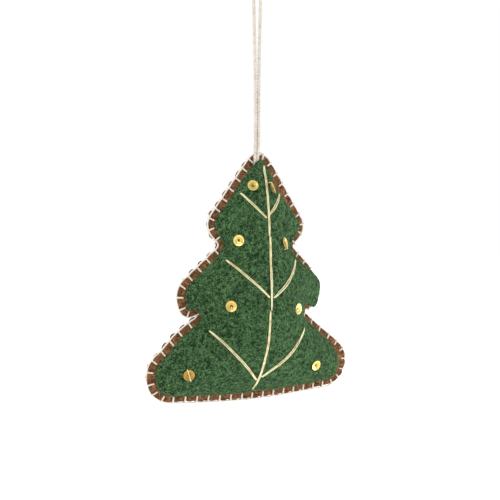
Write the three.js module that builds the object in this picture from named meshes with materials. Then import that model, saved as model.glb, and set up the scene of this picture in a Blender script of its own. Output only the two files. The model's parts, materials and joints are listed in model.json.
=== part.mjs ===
// A stuffed felt christmas tree ornament that hangs on a cotton loop.
// Millimetres, +Z up, the embroidered face towards -Y, the origin inside the bend that the loop hangs by.
import * as THREE from 'three';

// Seam line: the corners of one half, each with its drop below the corner before it.
// A tier stands out from the notch or the hem under it.
const TIP_RADIUS = 7.2;
const TOP_NOTCH_HALF_WIDTH = 19.4;
const TOP_TIER_OVERHANG = 8.1;
const TOP_TIER_DROP = 39.4;
const TOP_TIER_RADIUS = 8;
const TOP_NOTCH_DROP = 8.9;
const MIDDLE_NOTCH_HALF_WIDTH = 25;
const MIDDLE_HEM_OVERHANG = 11.7;
const MIDDLE_TIER_FLARE = 5.4;
const MIDDLE_TIER_DROP = 20.3;
const MIDDLE_TIER_RADIUS = 10;
const MIDDLE_HEM_DROP = 13.7;
const MIDDLE_HEM_RADIUS = 7;
const MIDDLE_NOTCH_UNDERCUT = 6;
const BASE_HEM_HALF_WIDTH = 49.7;
const BASE_TIER_FLARE = 3.9;
const BASE_TIER_DROP = 24.1;
const BASE_TIER_RADIUS = 10.8;
const BASE_HEM_DROP = 17.5;
const BASE_HEM_RADIUS = 11;
const BASE_SAG = 3.2;
const BASE_RADIUS = 300;
const NOTCH_RADIUS = 0.8;

// Felt layers and stuffing
const FELT_THICKNESS = 1;
const BORDER_WIDTH = 3.2;
const BORDER_RISE = 0.2;
const FRONT_SWELL = 14.3;
const BACK_SWELL = 6.6;
const SWELL_REACH = 9;
const SWELL_POWER = 0.75;
const STUFFING_INSET = 1.2;
const STUFFING_RIM = 0.4;

// The right middle tier hangs back: how far, and how far round its corner.
const SETBACK = 6.5;
const SETBACK_REACH = 21;

// Blanket stitch
const STITCH_PITCH = 5.6;
const STITCH_THREAD = 0.7;
const STITCH_GAP_AT_LOOP = 9;

// Hanging loop
const CORD_DIAMETER = 1.5;
const STRAND_SPACING = 1.6;
const LOOP_HEIGHT = 85;
const LOOP_OFFSET = 2.4;
const NOD_RISE = 2.5;
const SWING_RISE = 9;
const TWIST_RISE = 15;
const BALANCE_DROP = 71.5;
// The right strand above the twist, as half the strands' spacing and the height, from below up to the bend.
const LOOP_POINTS = [
  [0.85, -60],
  [1.05, -44],
  [1.35, -32],
  [1.9, -14],
  [2.8, -7],
  [3.4, -2.6],
  [2.4, -0.2],
  [0, CORD_DIAMETER / 2],
];

// Gold embroidery: two strands side by side, in a stem and three pairs of branches
// It is sewn by hand: the stem leans at both ends, and a shift to the left puts a pair off the centre line.
const GOLD_STRAND = 0.75;
const STEM_MARGIN = 2.2;
const STEM_FOOT_MARGIN = 4;
const STEM_TOP_SHIFT = 1.2;
const STEM_FOOT_SHIFT = 2.4;
const KNOT_GAP = 0.8;
const UPPER_KNOT_RISE = 4.7;
const LOWER_KNOT_DROP = 0.3;
const UPPER_BRANCH_DROP = 13.6;
const UPPER_BRANCH_FALL = 10.4;
const UPPER_BRANCH_MARGIN = 3.5;
const UPPER_BRANCH_SHIFT = 1.4;
const MIDDLE_BRANCH_DROP = 6;
const MIDDLE_BRANCH_FALL = 15.7;
const MIDDLE_BRANCH_MARGIN = 2.7;
const MIDDLE_BRANCH_SHIFT = -0.7;
const LOWER_BRANCH_DROP = 9.6;
const LOWER_BRANCH_FALL = 21.6;
const LOWER_BRANCH_MARGIN = 7.6;
const LOWER_BRANCH_SHIFT = 1.3;

// Sequins
const SEQUIN_DIAMETER = 5;
const SEQUIN_HOLE = 1.2;
const SEQUIN_FLAT = 2.6;
const SEQUIN_CUP = 0.7;
const SEQUIN_SHEET = 0.3;
const SEQUIN_THREAD = 0.5;
const SEQUIN_STITCH_TURN = THREE.MathUtils.degToRad(50);
const SEQUIN_1_DROP = 12.3;
const SEQUIN_1_MARGIN = 5.7;
const SEQUIN_1_SHIFT = 0.6;
const SEQUIN_2_RISE = 2.2;
const SEQUIN_2_MARGIN = 5.4;
const SEQUIN_2_SHIFT = 0.8;
const SEQUIN_3_RISE = 0.7;
const SEQUIN_3_MARGIN = 18.7;
const SEQUIN_3_SHIFT = 0.2;
const SEQUIN_4_RISE = 13.4;
const SEQUIN_4_MARGIN = 16.6;
const SEQUIN_4_SHIFT = 3;

// Clearance between pieces that touch, and the sizes of facets
const CLEARANCE = 0.3;
const SEAM_STEP = 5;
const PANEL_STEP = 5.2;
const ARC_STEP = THREE.MathUtils.degToRad(40);
const STRAIGHT_SHARE = 0.048;
const RING_MARGIN = 0.62;
const CIRCLE_TOLERANCE = 1e-6;
const SWELL_SWEEPS = 300;
const GOLD_STEP = 4;
const GOLD_SIDES = 8;
const SEQUIN_SIDES = 16;
const SEQUIN_THREAD_SIDES = 6;
const CORD_SIDES = 8;
const LOOP_STEPS = 64;

const GREEN_FELT = new THREE.MeshStandardMaterial({ color: 0x4b6b45, roughness: 0.95, metalness: 0 });
const BROWN_FELT = new THREE.MeshStandardMaterial({ color: 0x654729, roughness: 0.95, metalness: 0 });
const WHITE_FILL = new THREE.MeshStandardMaterial({ color: 0xf0eee8, roughness: 1, metalness: 0 });
const WHITE_COTTON = new THREE.MeshStandardMaterial({ color: 0xf1e6d8, roughness: 0.85, metalness: 0 });
const CREAM_CORD = new THREE.MeshStandardMaterial({ color: 0xdcd1ba, roughness: 0.9, metalness: 0 });
const GOLD_THREAD = new THREE.MeshStandardMaterial({ color: 0xd8c47e, roughness: 0.45, metalness: 0.6 });
const GOLD_SEQUIN = new THREE.MeshStandardMaterial({ color: 0xd9bd6a, roughness: 0.25, metalness: 0.9 });

// Depths that follow from the sizes above, measured from the seam between the two brown layers
const edgeInset = STITCH_THREAD / 2 + CLEARANCE;
const layerDepth = CLEARANCE / 2;
const borderFace = layerDepth + FELT_THICKNESS;

// Heights of the points that the tree twists and swings about
const twistZ = TWIST_RISE - LOOP_HEIGHT;
const swingZ = SWING_RISE - LOOP_HEIGHT;

// Corners of the seam line, counterclockwise as seen from the front, from the tip.
function seamCorners() {
  const topTier = TOP_NOTCH_HALF_WIDTH + TOP_TIER_OVERHANG;
  const middleHem = MIDDLE_NOTCH_HALF_WIDTH + MIDDLE_HEM_OVERHANG;
  const half = [
    [topTier, TOP_TIER_DROP, TOP_TIER_RADIUS],
    [TOP_NOTCH_HALF_WIDTH, TOP_NOTCH_DROP, NOTCH_RADIUS],
    [middleHem + MIDDLE_TIER_FLARE, MIDDLE_TIER_DROP, MIDDLE_TIER_RADIUS],
    [middleHem, MIDDLE_HEM_DROP, MIDDLE_HEM_RADIUS],
    [MIDDLE_NOTCH_HALF_WIDTH, -MIDDLE_NOTCH_UNDERCUT, NOTCH_RADIUS],
    [BASE_HEM_HALF_WIDTH + BASE_TIER_FLARE, BASE_TIER_DROP, BASE_TIER_RADIUS],
    [BASE_HEM_HALF_WIDTH, BASE_HEM_DROP, BASE_HEM_RADIUS],
  ];
  const slope = Math.atan2(topTier, TOP_TIER_DROP);
  let z = TIP_RADIUS / Math.sin(slope) - TIP_RADIUS;
  const tip = { at: new THREE.Vector2(0, z), radius: TIP_RADIUS };
  const left = half.map(([halfWidth, drop, radius]) => {
    z -= drop;
    return { at: new THREE.Vector2(-halfWidth, z), radius };
  });
  const base = { at: new THREE.Vector2(0, z - BASE_SAG), radius: BASE_RADIUS };
  const right = left.map(({ at, radius }) => ({ at: new THREE.Vector2(-at.x, at.y), radius }));
  return [tip, ...left, base, ...right.reverse()];
}

// The middle of the right middle tier's lobe.
function lobeCentre() {
  const [tier, hem] = seamCorners().slice(3, 5);
  return new THREE.Vector2(-(tier.at.x + hem.at.x) / 2, (tier.at.y + hem.at.y) / 2);
}

const lobe = lobeCentre();

// How far the tree is set back at a place in its plane, which fades with the distance from the lobe.
function setback(x, z) {
  const share = Math.min(Math.hypot(x - lobe.x, z - lobe.y) / SETBACK_REACH, 1);
  return SETBACK * Math.pow(1 - share * share, 2);
}

// The arc that rounds one corner of a counterclockwise outline. Arcs leave STRAIGHT_SHARE of a side straight.
function cornerArc(before, corner, after) {
  const toBefore = before.at.clone().sub(corner.at);
  const toAfter = after.at.clone().sub(corner.at);
  const room = (Math.min(toBefore.length(), toAfter.length()) * (1 - STRAIGHT_SHARE)) / 2;
  toBefore.normalize();
  toAfter.normalize();
  const half = Math.acos(toBefore.dot(toAfter)) / 2;
  const reach = Math.min(corner.radius / Math.tan(half), room);
  const radius = reach * Math.tan(half);
  const towardsCentre = toBefore.clone().add(toAfter).normalize();
  const centre = corner.at.clone().addScaledVector(towardsCentre, radius / Math.sin(half));
  const start = corner.at.clone().addScaledVector(toBefore, reach).sub(centre);
  const convex = toBefore.cross(toAfter) < 0;
  const sweep = (convex ? 1 : -1) * (Math.PI - 2 * half);
  return { centre, radius, convex, start: Math.atan2(start.y, start.x), sweep };
}

// The seam line moved inwards, as a closed ring that has the same number of points at every inset.
// A corner that is rounder than the inset leaves keeps half a notch's radius.
function seamRing(inset) {
  const corners = seamCorners();
  const count = corners.length;
  const arcs = corners.map((corner, i) => cornerArc(corners.at(i - 1), corner, corners[(i + 1) % count]));
  const pointOn = (arc, turn) => {
    const reach = arc.convex ? Math.max(arc.radius - inset, NOTCH_RADIUS / 2) : arc.radius + inset;
    const angle = arc.start + turn;
    return new THREE.Vector2(Math.cos(angle), Math.sin(angle)).multiplyScalar(reach).add(arc.centre);
  };
  return arcs.flatMap((arc, i) => {
    const sweep = Math.abs(arc.sweep);
    const arcSteps = Math.max(Math.ceil(sweep / ARC_STEP), Math.ceil((sweep * arc.radius) / SEAM_STEP));
    const onArc = Array.from({ length: arcSteps }, (_, k) => pointOn(arc, (arc.sweep * k) / arcSteps));
    const lineStart = pointOn(arc, arc.sweep);
    const lineEnd = pointOn(arcs[(i + 1) % count], 0);
    const lineSteps = Math.max(1, Math.ceil(lineStart.distanceTo(lineEnd) / SEAM_STEP));
    const pointAlong = (k) => lineStart.clone().lerp(lineEnd, k / lineSteps);
    return [...onArc, ...Array.from({ length: lineSteps }, (_, k) => pointAlong(k))];
  });
}

// Whether a point lies inside a ring.
function insideRing(ring, point) {
  let inside = false;
  ring.forEach((a, i) => {
    const b = ring.at(i - 1);
    if (a.y > point.y !== b.y > point.y && point.x < ((b.x - a.x) * (point.y - a.y)) / (b.y - a.y) + a.x) {
      inside = !inside;
    }
  });
  return inside;
}

// Twice the area of a triangle, positive where its corners run counterclockwise.
function area2(a, b, c) {
  return (b.x - a.x) * (c.y - a.y) - (b.y - a.y) * (c.x - a.x);
}

// Points on staggered rows inside a ring, none nearer to a point of the ring than RING_MARGIN of a step.
function pointsInside(ring, step) {
  const bounds = new THREE.Box2().setFromPoints(ring);
  const rowStep = (step * Math.sqrt(3)) / 2;
  const found = [];
  for (let row = 1; bounds.max.y - row * rowStep > bounds.min.y; row++) {
    const reach = Math.ceil(bounds.max.x / step);
    for (let k = -reach; k <= reach; k++) {
      const shift = row % 2 ? 0.5 : 0;
      const point = new THREE.Vector2((k + shift) * step, bounds.max.y - row * rowStep);
      const clear = ring.every((corner) => corner.distanceTo(point) > RING_MARGIN * step);
      if (clear && insideRing(ring, point)) {
        found.push(point);
      }
    }
  }
  return found;
}

// Puts a point into the triangle that holds it, which becomes three.
function insertPoint(points, triangles, index) {
  const p = points[index];
  const holds = (corners) =>
    corners.every((from, k) => area2(points[from], points[corners[(k + 1) % 3]], p) >= 0);
  const [a, b, c] = triangles.splice(triangles.findIndex(holds), 1)[0];
  triangles.push([a, b, index], [b, c, index], [c, a, index]);
}

// Whether d lies inside the circle through the counterclockwise corners a, b and c.
function insideCircle(a, b, c, d) {
  const rows = [a, b, c].map((p) => {
    const away = p.clone().sub(d);
    return [away.x, away.y, away.lengthSq()];
  });
  return new THREE.Matrix3().set(...rows.flat()).determinant() > CIRCLE_TOLERANCE;
}

// Turns inner edges until every triangle is as compact as its neighbours allow.
function evenOut(points, triangles) {
  let turned = true;
  while (turned) {
    turned = false;
    const edges = new Map();
    for (let t = 0; t < triangles.length; t++) {
      for (let k = 0; k < 3; k++) {
        const [a, b, c] = [triangles[t][k], triangles[t][(k + 1) % 3], triangles[t][(k + 2) % 3]];
        const twin = edges.get(`${b},${a}`);
        const held = twin && triangles[twin.t][twin.k] === b && triangles[twin.t][(twin.k + 1) % 3] === a;
        const d = held ? triangles[twin.t][(twin.k + 2) % 3] : -1;
        if (held && insideCircle(points[a], points[b], points[c], points[d])) {
          triangles[t] = [a, d, c];
          triangles[twin.t] = [d, b, c];
          turned = true;
          break;
        }
        edges.set(`${a},${b}`, { t, k });
      }
    }
  }
}

// A ring filled with compact triangles: its own points first, then the points inside it.
function fillRing(ring, step) {
  const triangles = THREE.ShapeUtils.triangulateShape(ring, []);
  const points = [...ring, ...pointsInside(ring, step)];
  for (const triangle of triangles) {
    if (area2(...triangle.map((i) => points[i])) < 0) {
      triangle.reverse();
    }
  }
  for (let i = ring.length; i < points.length; i++) {
    insertPoint(points, triangles, i);
  }
  evenOut(points, triangles);
  return { points, triangles };
}

// How far stuffing lifts each point of a filled ring, from 0 on the ring to 1 at the fullest place.
// The seam holds the felt down fully on the ring, and its hold fades inwards over SWELL_REACH.
function swellOf({ points, triangles }, ringCount) {
  const release = new Float64Array(points.length);
  const pulls = points.map(() => new Map());
  for (const corners of triangles) {
    const area = area2(...corners.map((i) => points[i]));
    corners.forEach((i, k) => {
      const j = corners[(k + 1) % 3];
      const o = points[corners[(k + 2) % 3]];
      const pull = points[i].clone().sub(o).dot(points[j].clone().sub(o)) / area;
      pulls[i].set(j, (pulls[i].get(j) ?? 0) + pull);
      pulls[j].set(i, (pulls[j].get(i) ?? 0) + pull);
      release[i] += area / (3 * SWELL_REACH * SWELL_REACH);
    });
  }
  const hold = new Float64Array(points.length).fill(1);
  for (let sweep = 0; sweep < SWELL_SWEEPS; sweep++) {
    for (let i = ringCount; i < points.length; i++) {
      let sum = 0;
      let weight = release[i];
      for (const [j, pull] of pulls[i]) {
        sum += pull * hold[j];
        weight += pull;
      }
      hold[i] = sum / weight;
    }
  }
  const fullest = Math.log(Math.min(...hold));
  return Array.from(hold, (share) => Math.pow(Math.log(share) / fullest, SWELL_POWER));
}

// A closed solid from corner points and faces of three or four corners, each counterclockwise from outside.
function solid(corners, faces) {
  const geometry = new THREE.BufferGeometry();
  const fan = (face) => face.slice(2).flatMap((_, k) => [face[0], face[k + 1], face[k + 2]]);
  geometry.setAttribute('position', new THREE.Float32BufferAttribute(corners.flatMap((p) => p.toArray()), 3));
  geometry.setIndex(faces.flatMap(fan));
  geometry.computeVertexNormals();
  return geometry;
}

// A felt sheet between two depths at each point, with a wall along its ring. Depths grow towards -Y.
function sheet(points, triangles, ring, innerDepths, outerDepths) {
  const count = points.length;
  const outer = points.map((p, i) => new THREE.Vector3(p.x, setback(p.x, p.y) - outerDepths[i], p.y));
  const inner = points.map((p, i) => new THREE.Vector3(p.x, setback(p.x, p.y) - innerDepths[i], p.y));
  const faces = triangles.flatMap(([a, b, c]) => [[a, b, c], [c + count, b + count, a + count]]);
  ring.forEach((i, k) => {
    const j = ring[(k + 1) % ring.length];
    faces.push([i, i + count, j + count, j]);
  });
  return solid([...outer, ...inner], faces);
}

// A closed tube through rings of points, with flat ends.
function loft(rings) {
  const sides = rings[0].length;
  const faces = [];
  for (let r = 0; r + 1 < rings.length; r++) {
    for (let k = 0; k < sides; k++) {
      const next = (k + 1) % sides;
      faces.push([r * sides + k, r * sides + next, (r + 1) * sides + next, (r + 1) * sides + k]);
    }
  }
  const last = (rings.length - 1) * sides;
  const order = rings[0].map((_, k) => k);
  faces.push([...order].reverse(), order.map((k) => last + k));
  return solid(rings.flat(), faces);
}

// A distance along a closed ring becomes a place on it and its outward direction.
class RingRun {
  constructor(ring) {
    this.ring = ring;
    this.ends = ring.map((p, i) => p.distanceTo(ring[(i + 1) % ring.length]));
    this.starts = this.ends.map((_, i) => this.ends.slice(0, i).reduce((sum, length) => sum + length, 0));
    this.length = this.ends.reduce((sum, length) => sum + length, 0);
    const sides = ring.map((p, i) => {
      const along = ring[(i + 1) % ring.length].clone().sub(p).normalize();
      return new THREE.Vector2(along.y, -along.x);
    });
    this.outwards = sides.map((side, i) => side.clone().add(sides.at(i - 1)).normalize());
  }

  at(distance) {
    const wrapped = THREE.MathUtils.euclideanModulo(distance, this.length);
    const i = this.starts.findLastIndex((start) => start <= wrapped);
    const j = (i + 1) % this.ring.length;
    const share = (wrapped - this.starts[i]) / this.ends[i];
    const outward = this.outwards[i].clone().lerp(this.outwards[j], share).normalize();
    return { point: this.ring[i].clone().lerp(this.ring[j], share), outward };
  }

  // The distance at which the ring passes nearest to a place.
  nearest(place) {
    const samples = Array.from({ length: Math.ceil(this.length) }, (_, k) => k);
    const apart = (distance) => this.at(distance).point.distanceTo(place);
    return samples.reduce((best, next) => (apart(next) < apart(best) ? next : best));
  }
}

// How deep the border's face lies at an inset from the seam line, without the felt's swell.
function borderDepth(inset) {
  return borderFace + (BORDER_RISE * (inset - edgeInset)) / (BORDER_WIDTH - edgeInset);
}

// The blanket stitch: a purl that runs round the edge, and at each stitch an arm over the front and the back.
class BlanketStitch {
  constructor(loopPlace) {
    this.half = STITCH_THREAD / 2;
    this.run = new RingRun(seamRing(0));
    this.corners = [];
    this.faces = [];
    const lap = this.run.length - STITCH_GAP_AT_LOOP;
    const gaps = Math.round(lap / STITCH_PITCH);
    const first = loopPlace + STITCH_GAP_AT_LOOP / 2;
    this.stitches = Array.from({ length: gaps + 1 }, (_, k) => first + (lap * k) / gaps);
  }

  // Four corners of the purl at one distance: outer front, inner front, inner back, outer back.
  section(distance) {
    const { point, outward } = this.run.at(distance);
    const signs = [[1, -1], [-1, -1], [-1, 1], [1, 1]];
    return signs.map(([side, face]) => {
      const place = point.clone().addScaledVector(outward, side * this.half);
      return this.corner(new THREE.Vector3(place.x, setback(place.x, place.y) + face * this.half, place.y));
    });
  }

  corner(point) {
    return this.corners.push(point) - 1;
  }

  // Walls from one loop of corners to the next, apart from the wall on one side.
  walls(from, to, open = -1) {
    from.forEach((corner, k) => {
      const next = (k + 1) % from.length;
      if (k !== open) {
        this.faces.push([corner, from[next], to[next], to[k]]);
      }
    });
  }

  // An arm that climbs from the purl's face, then runs inwards to the green panel's edge.
  arm(loop, innerSide, face, outward) {
    const reach = BORDER_WIDTH - CLEARANCE - this.half;
    const lifted = (height) => loop.map((corner, k) => {
      const inset = k === innerSide || k === (innerSide + 1) % 4 ? this.half : -this.half;
      const { x, z } = this.corners[corner];
      return this.corner(new THREE.Vector3(x, setback(x, z) + face * (borderDepth(inset) + height), z));
    });
    const under = lifted(CLEARANCE);
    const over = lifted(CLEARANCE + STITCH_THREAD);
    const next = (innerSide + 1) % 4;
    const root = [under[innerSide], under[next], over[next], over[innerSide]];
    const rise = borderDepth(this.half + reach) - borderDepth(this.half);
    const end = root.map((corner) => {
      const { x, y, z } = this.corners[corner];
      const [inX, inZ] = [x - outward.x * reach, z - outward.y * reach];
      const depth = y - setback(x, z) + face * rise;
      return this.corner(new THREE.Vector3(inX, setback(inX, inZ) + depth, inZ));
    });
    this.walls(loop, under);
    this.walls(under, over, innerSide);
    this.faces.push(over, end);
    this.walls(root, end);
  }

  geometry() {
    const margin = 2 * this.half;
    const free = this.run.starts.filter((start) =>
      this.stitches.every((stitch) => {
        const apart = THREE.MathUtils.euclideanModulo(start - stitch, this.run.length);
        return Math.min(apart, this.run.length - apart) > margin;
      }));
    const lap = (distance) => THREE.MathUtils.euclideanModulo(distance, this.run.length);
    const places = [
      ...free.map((distance) => ({ distance })),
      ...this.stitches.flatMap((stitch) => [
        { distance: lap(stitch - this.half), stitch },
        { distance: lap(stitch + this.half) },
      ]),
    ].sort((a, b) => a.distance - b.distance);
    const sections = places.map(({ distance }) => this.section(distance));
    places.forEach(({ stitch }, i) => {
      const here = sections[i];
      const there = sections[(i + 1) % sections.length];
      const quads = here.map((corner, k) => [corner, there[k], there[(k + 1) % 4], here[(k + 1) % 4]]);
      if (stitch === undefined) {
        this.faces.push(...quads);
        return;
      }
      const { outward } = this.run.at(stitch);
      this.faces.push(quads[1], quads[3]);
      this.arm(quads[0], 2, -1, outward);
      this.arm(quads[2], 0, 1, outward);
    });
    return solid(this.corners, this.faces);
  }
}

const panelRing = seamRing(BORDER_WIDTH);
const panel = fillRing(panelRing, PANEL_STEP);
const swell = swellOf(panel, panelRing.length);
const ringOrder = panelRing.map((_, i) => i);
const frontLift = swell.map((share) => layerDepth + BORDER_RISE + FRONT_SWELL * share);
const backLift = swell.map((share) => layerDepth + BORDER_RISE + BACK_SWELL * share);

// A brown layer: the panel's points with the border round them, lifted on the side that sign gives.
function brownLayer(lift, sign) {
  const count = panel.points.length;
  const edge = seamRing(edgeInset);
  const border = ringOrder.flatMap((i) => {
    const j = (i + 1) % edge.length;
    return [[count + i, count + j, j], [count + i, j, i]];
  });
  const inner = [...lift, ...edge.map(() => layerDepth)].map((depth) => sign * depth);
  const outer = inner.map((depth) => depth + sign * FELT_THICKNESS);
  const [far, near] = sign > 0 ? [inner, outer] : [outer, inner];
  const rim = ringOrder.map((i) => count + i);
  return sheet([...panel.points, ...edge], [...panel.triangles, ...border], rim, far, near);
}

// The green panel on the front layer.
function greenPanel() {
  const under = frontLift.map((depth) => depth + FELT_THICKNESS + CLEARANCE);
  const face = under.map((depth) => depth + FELT_THICKNESS);
  return sheet(panel.points, panel.triangles, ringOrder, under, face);
}

// The stuffing between the layers, drawn in from the seam.
function stuffing() {
  const rim = seamRing(BORDER_WIDTH + STUFFING_INSET);
  const inside = panel.points.slice(rim.length);
  const fill = (lift) => lift.map((depth, i) => (i < rim.length ? STUFFING_RIM / 2 : depth - CLEARANCE));
  const back = fill(backLift).map((depth) => -depth);
  return sheet([...rim, ...inside], panel.triangles, ringOrder, back, fill(frontLift));
}

// The green panel's face: the place on it in front of a point of the seam plane, and the way it faces there.
class PanelFace {
  constructor() {
    const rise = 2 * FELT_THICKNESS + CLEARANCE;
    this.places = panel.points.map((p, i) =>
      new THREE.Vector3(p.x, setback(p.x, p.y) - frontLift[i] - rise, p.y));
    this.normals = panel.points.map(() => new THREE.Vector3());
    for (const corners of panel.triangles) {
      const [a, b, c] = corners.map((i) => this.places[i]);
      const normal = b.clone().sub(a).cross(c.clone().sub(a));
      corners.forEach((i) => this.normals[i].add(normal));
    }
  }

  at(place) {
    const weights = ([a, b, c]) => {
      const [pa, pb, pc] = [a, b, c].map((i) => panel.points[i]);
      const area = area2(pa, pb, pc);
      return [area2(pb, pc, place) / area, area2(pc, pa, place) / area, area2(pa, pb, place) / area];
    };
    const least = (corners) => Math.min(...weights(corners));
    const corners = panel.triangles.reduce((best, next) => (least(next) > least(best) ? next : best));
    const shares = weights(corners);
    const blend = (vectors) =>
      corners.reduce((sum, i, k) => sum.addScaledVector(vectors[i], shares[k]), new THREE.Vector3());
    return { point: blend(this.places), normal: blend(this.normals).normalize() };
  }
}

// The green panel's half width at a height, on its right.
function panelHalfWidth(z) {
  const crossings = panelRing.flatMap((a, i) => {
    const b = panelRing[(i + 1) % panelRing.length];
    return a.y > z !== b.y > z ? [a.x + ((b.x - a.x) * (z - a.y)) / (b.y - a.y)] : [];
  });
  return Math.max(...crossings);
}

// A tube of round section along a run of points that lie in one plane, square to its start and end.
function roundTube(points, planeNormal, diameter, sides) {
  const rings = points.map((point, i) => {
    const before = points[Math.max(i - 1, 0)];
    const after = points[Math.min(i + 1, points.length - 1)];
    const along = after.clone().sub(before).normalize();
    const across = planeNormal.clone().cross(along);
    return Array.from({ length: sides }, (_, k) => {
      const angle = (2 * Math.PI * (k + 0.5)) / sides;
      return point.clone()
        .addScaledVector(across, (Math.cos(angle) * diameter) / 2)
        .addScaledVector(planeNormal, (Math.sin(angle) * diameter) / 2);
    });
  });
  return loft(rings);
}

const face = new PanelFace();
const [, , topNotch, , , middleNotch, , baseHem, base] = seamCorners().map(({ at }) => at);

// Doubled gold thread laid on the panel from one place to another.
function goldStitch(from, to) {
  const steps = Math.ceil(from.distanceTo(to) / GOLD_STEP);
  const spots = Array.from({ length: steps + 1 }, (_, k) => face.at(from.clone().lerp(to, k / steps)));
  const lift = CLEARANCE + GOLD_STRAND / 2;
  const centres = spots.map(({ point, normal }) => point.clone().addScaledVector(normal, lift));
  const rings = spots.map(({ normal }, i) => {
    const along = centres[Math.min(i + 1, steps)].clone().sub(centres[Math.max(i - 1, 0)]);
    const across = normal.clone().cross(along).normalize();
    return Array.from({ length: GOLD_SIDES }, (_, k) => {
      const angle = (2 * Math.PI * k) / GOLD_SIDES;
      return centres[i].clone()
        .addScaledVector(across, Math.cos(angle) * GOLD_STRAND)
        .addScaledVector(normal, (Math.sin(angle) * GOLD_STRAND) / 2);
    });
  });
  return loft(rings);
}

// A cupped sequin with a hole, its base in the plane of X and Z and its cup open towards +Y.
function sequin() {
  const profile = [
    [SEQUIN_HOLE / 2, 0],
    [SEQUIN_FLAT / 2, 0],
    [SEQUIN_DIAMETER / 2, SEQUIN_CUP],
    [SEQUIN_DIAMETER / 2, SEQUIN_CUP + SEQUIN_SHEET],
    [SEQUIN_FLAT / 2, SEQUIN_SHEET],
    [SEQUIN_HOLE / 2, SEQUIN_SHEET],
    [SEQUIN_HOLE / 2, 0],
  ];
  return new THREE.LatheGeometry(profile.map(([r, y]) => new THREE.Vector2(r, y)), SEQUIN_SIDES);
}

// The stitch that holds a sequin: out of its hole, over its rim along +Z and down to the felt.
function sequinStitch() {
  const half = SEQUIN_THREAD / 2;
  const clear = CLEARANCE + half;
  const rim = SEQUIN_CUP + SEQUIN_SHEET;
  const outside = SEQUIN_DIAMETER / 2 + clear;
  const path = [
    [0, half],
    [0, rim],
    [half, rim + clear],
    [outside - half, rim + clear],
    [outside, rim],
    [outside, half],
  ];
  const points = path.map(([z, y]) => new THREE.Vector3(0, y, z));
  return roundTube(points, new THREE.Vector3(1, 0, 0), SEQUIN_THREAD, SEQUIN_THREAD_SIDES);
}

// The hanging loop above the twist, up one strand, round the bend and down the other.
function loopTube() {
  const right = [[STRAND_SPACING / 2, twistZ + CLEARANCE / 2], ...LOOP_POINTS];
  const left = right.slice(0, -1).map(([x, z]) => [-x, z]).reverse();
  const path = new THREE.CatmullRomCurve3([...right, ...left].map(([x, z]) => new THREE.Vector3(x, 0, z)));
  const section = new THREE.Shape(Array.from({ length: CORD_SIDES }, (_, k) => {
    const angle = (2 * Math.PI * k) / CORD_SIDES;
    return new THREE.Vector2(Math.cos(angle), Math.sin(angle)).multiplyScalar(CORD_DIAMETER / 2);
  }));
  return new THREE.ExtrudeGeometry(section, { extrudePath: path, steps: LOOP_STEPS, bevelEnabled: false });
}

// The two strands side by side as one flat cord, from a round end at the top down to a flat end.
function cordEnd(topRadius, drop, width) {
  const outline = new THREE.Shape();
  outline.moveTo(-topRadius, -drop);
  outline.lineTo(topRadius, -drop);
  outline.absarc(0, 0, topRadius, 0, Math.PI, false);
  const settings = { depth: width, bevelEnabled: false, curveSegments: CORD_SIDES };
  return new THREE.ExtrudeGeometry(outline, settings).translate(0, 0, -width / 2).rotateX(Math.PI / 2);
}

// The two strands side by side, standing on z = 0.
function cordPair(height) {
  const radius = CORD_DIAMETER / 2;
  const reach = STRAND_SPACING / 2;
  const outline = new THREE.Shape();
  outline.absarc(reach, 0, radius, -Math.PI / 2, Math.PI / 2, false);
  outline.absarc(-reach, 0, radius, Math.PI / 2, (3 * Math.PI) / 2, false);
  const settings = { depth: height, bevelEnabled: false, curveSegments: CORD_SIDES / 2 };
  return new THREE.ExtrudeGeometry(outline, settings);
}

function piece(name, geometry, material) {
  const mesh = new THREE.Mesh(geometry, material);
  mesh.name = name;
  return mesh;
}

// Felt, stuffing and the stitch that closes them.
function stuffedTree() {
  const tree = new THREE.Group();
  const seam = new RingRun(seamRing(0));
  const loopPlace = seam.nearest(new THREE.Vector2(-LOOP_OFFSET, 0));
  tree.add(
    piece('front_tree_panel', greenPanel(), GREEN_FELT),
    piece('front_border_felt', brownLayer(frontLift, 1), BROWN_FELT),
    piece('back_felt', brownLayer(backLift, -1), BROWN_FELT),
    piece('stuffing', stuffing(), WHITE_FILL),
    piece('blanket_stitch', new BlanketStitch(loopPlace).geometry(), WHITE_COTTON),
  );
  return tree;
}

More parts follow.
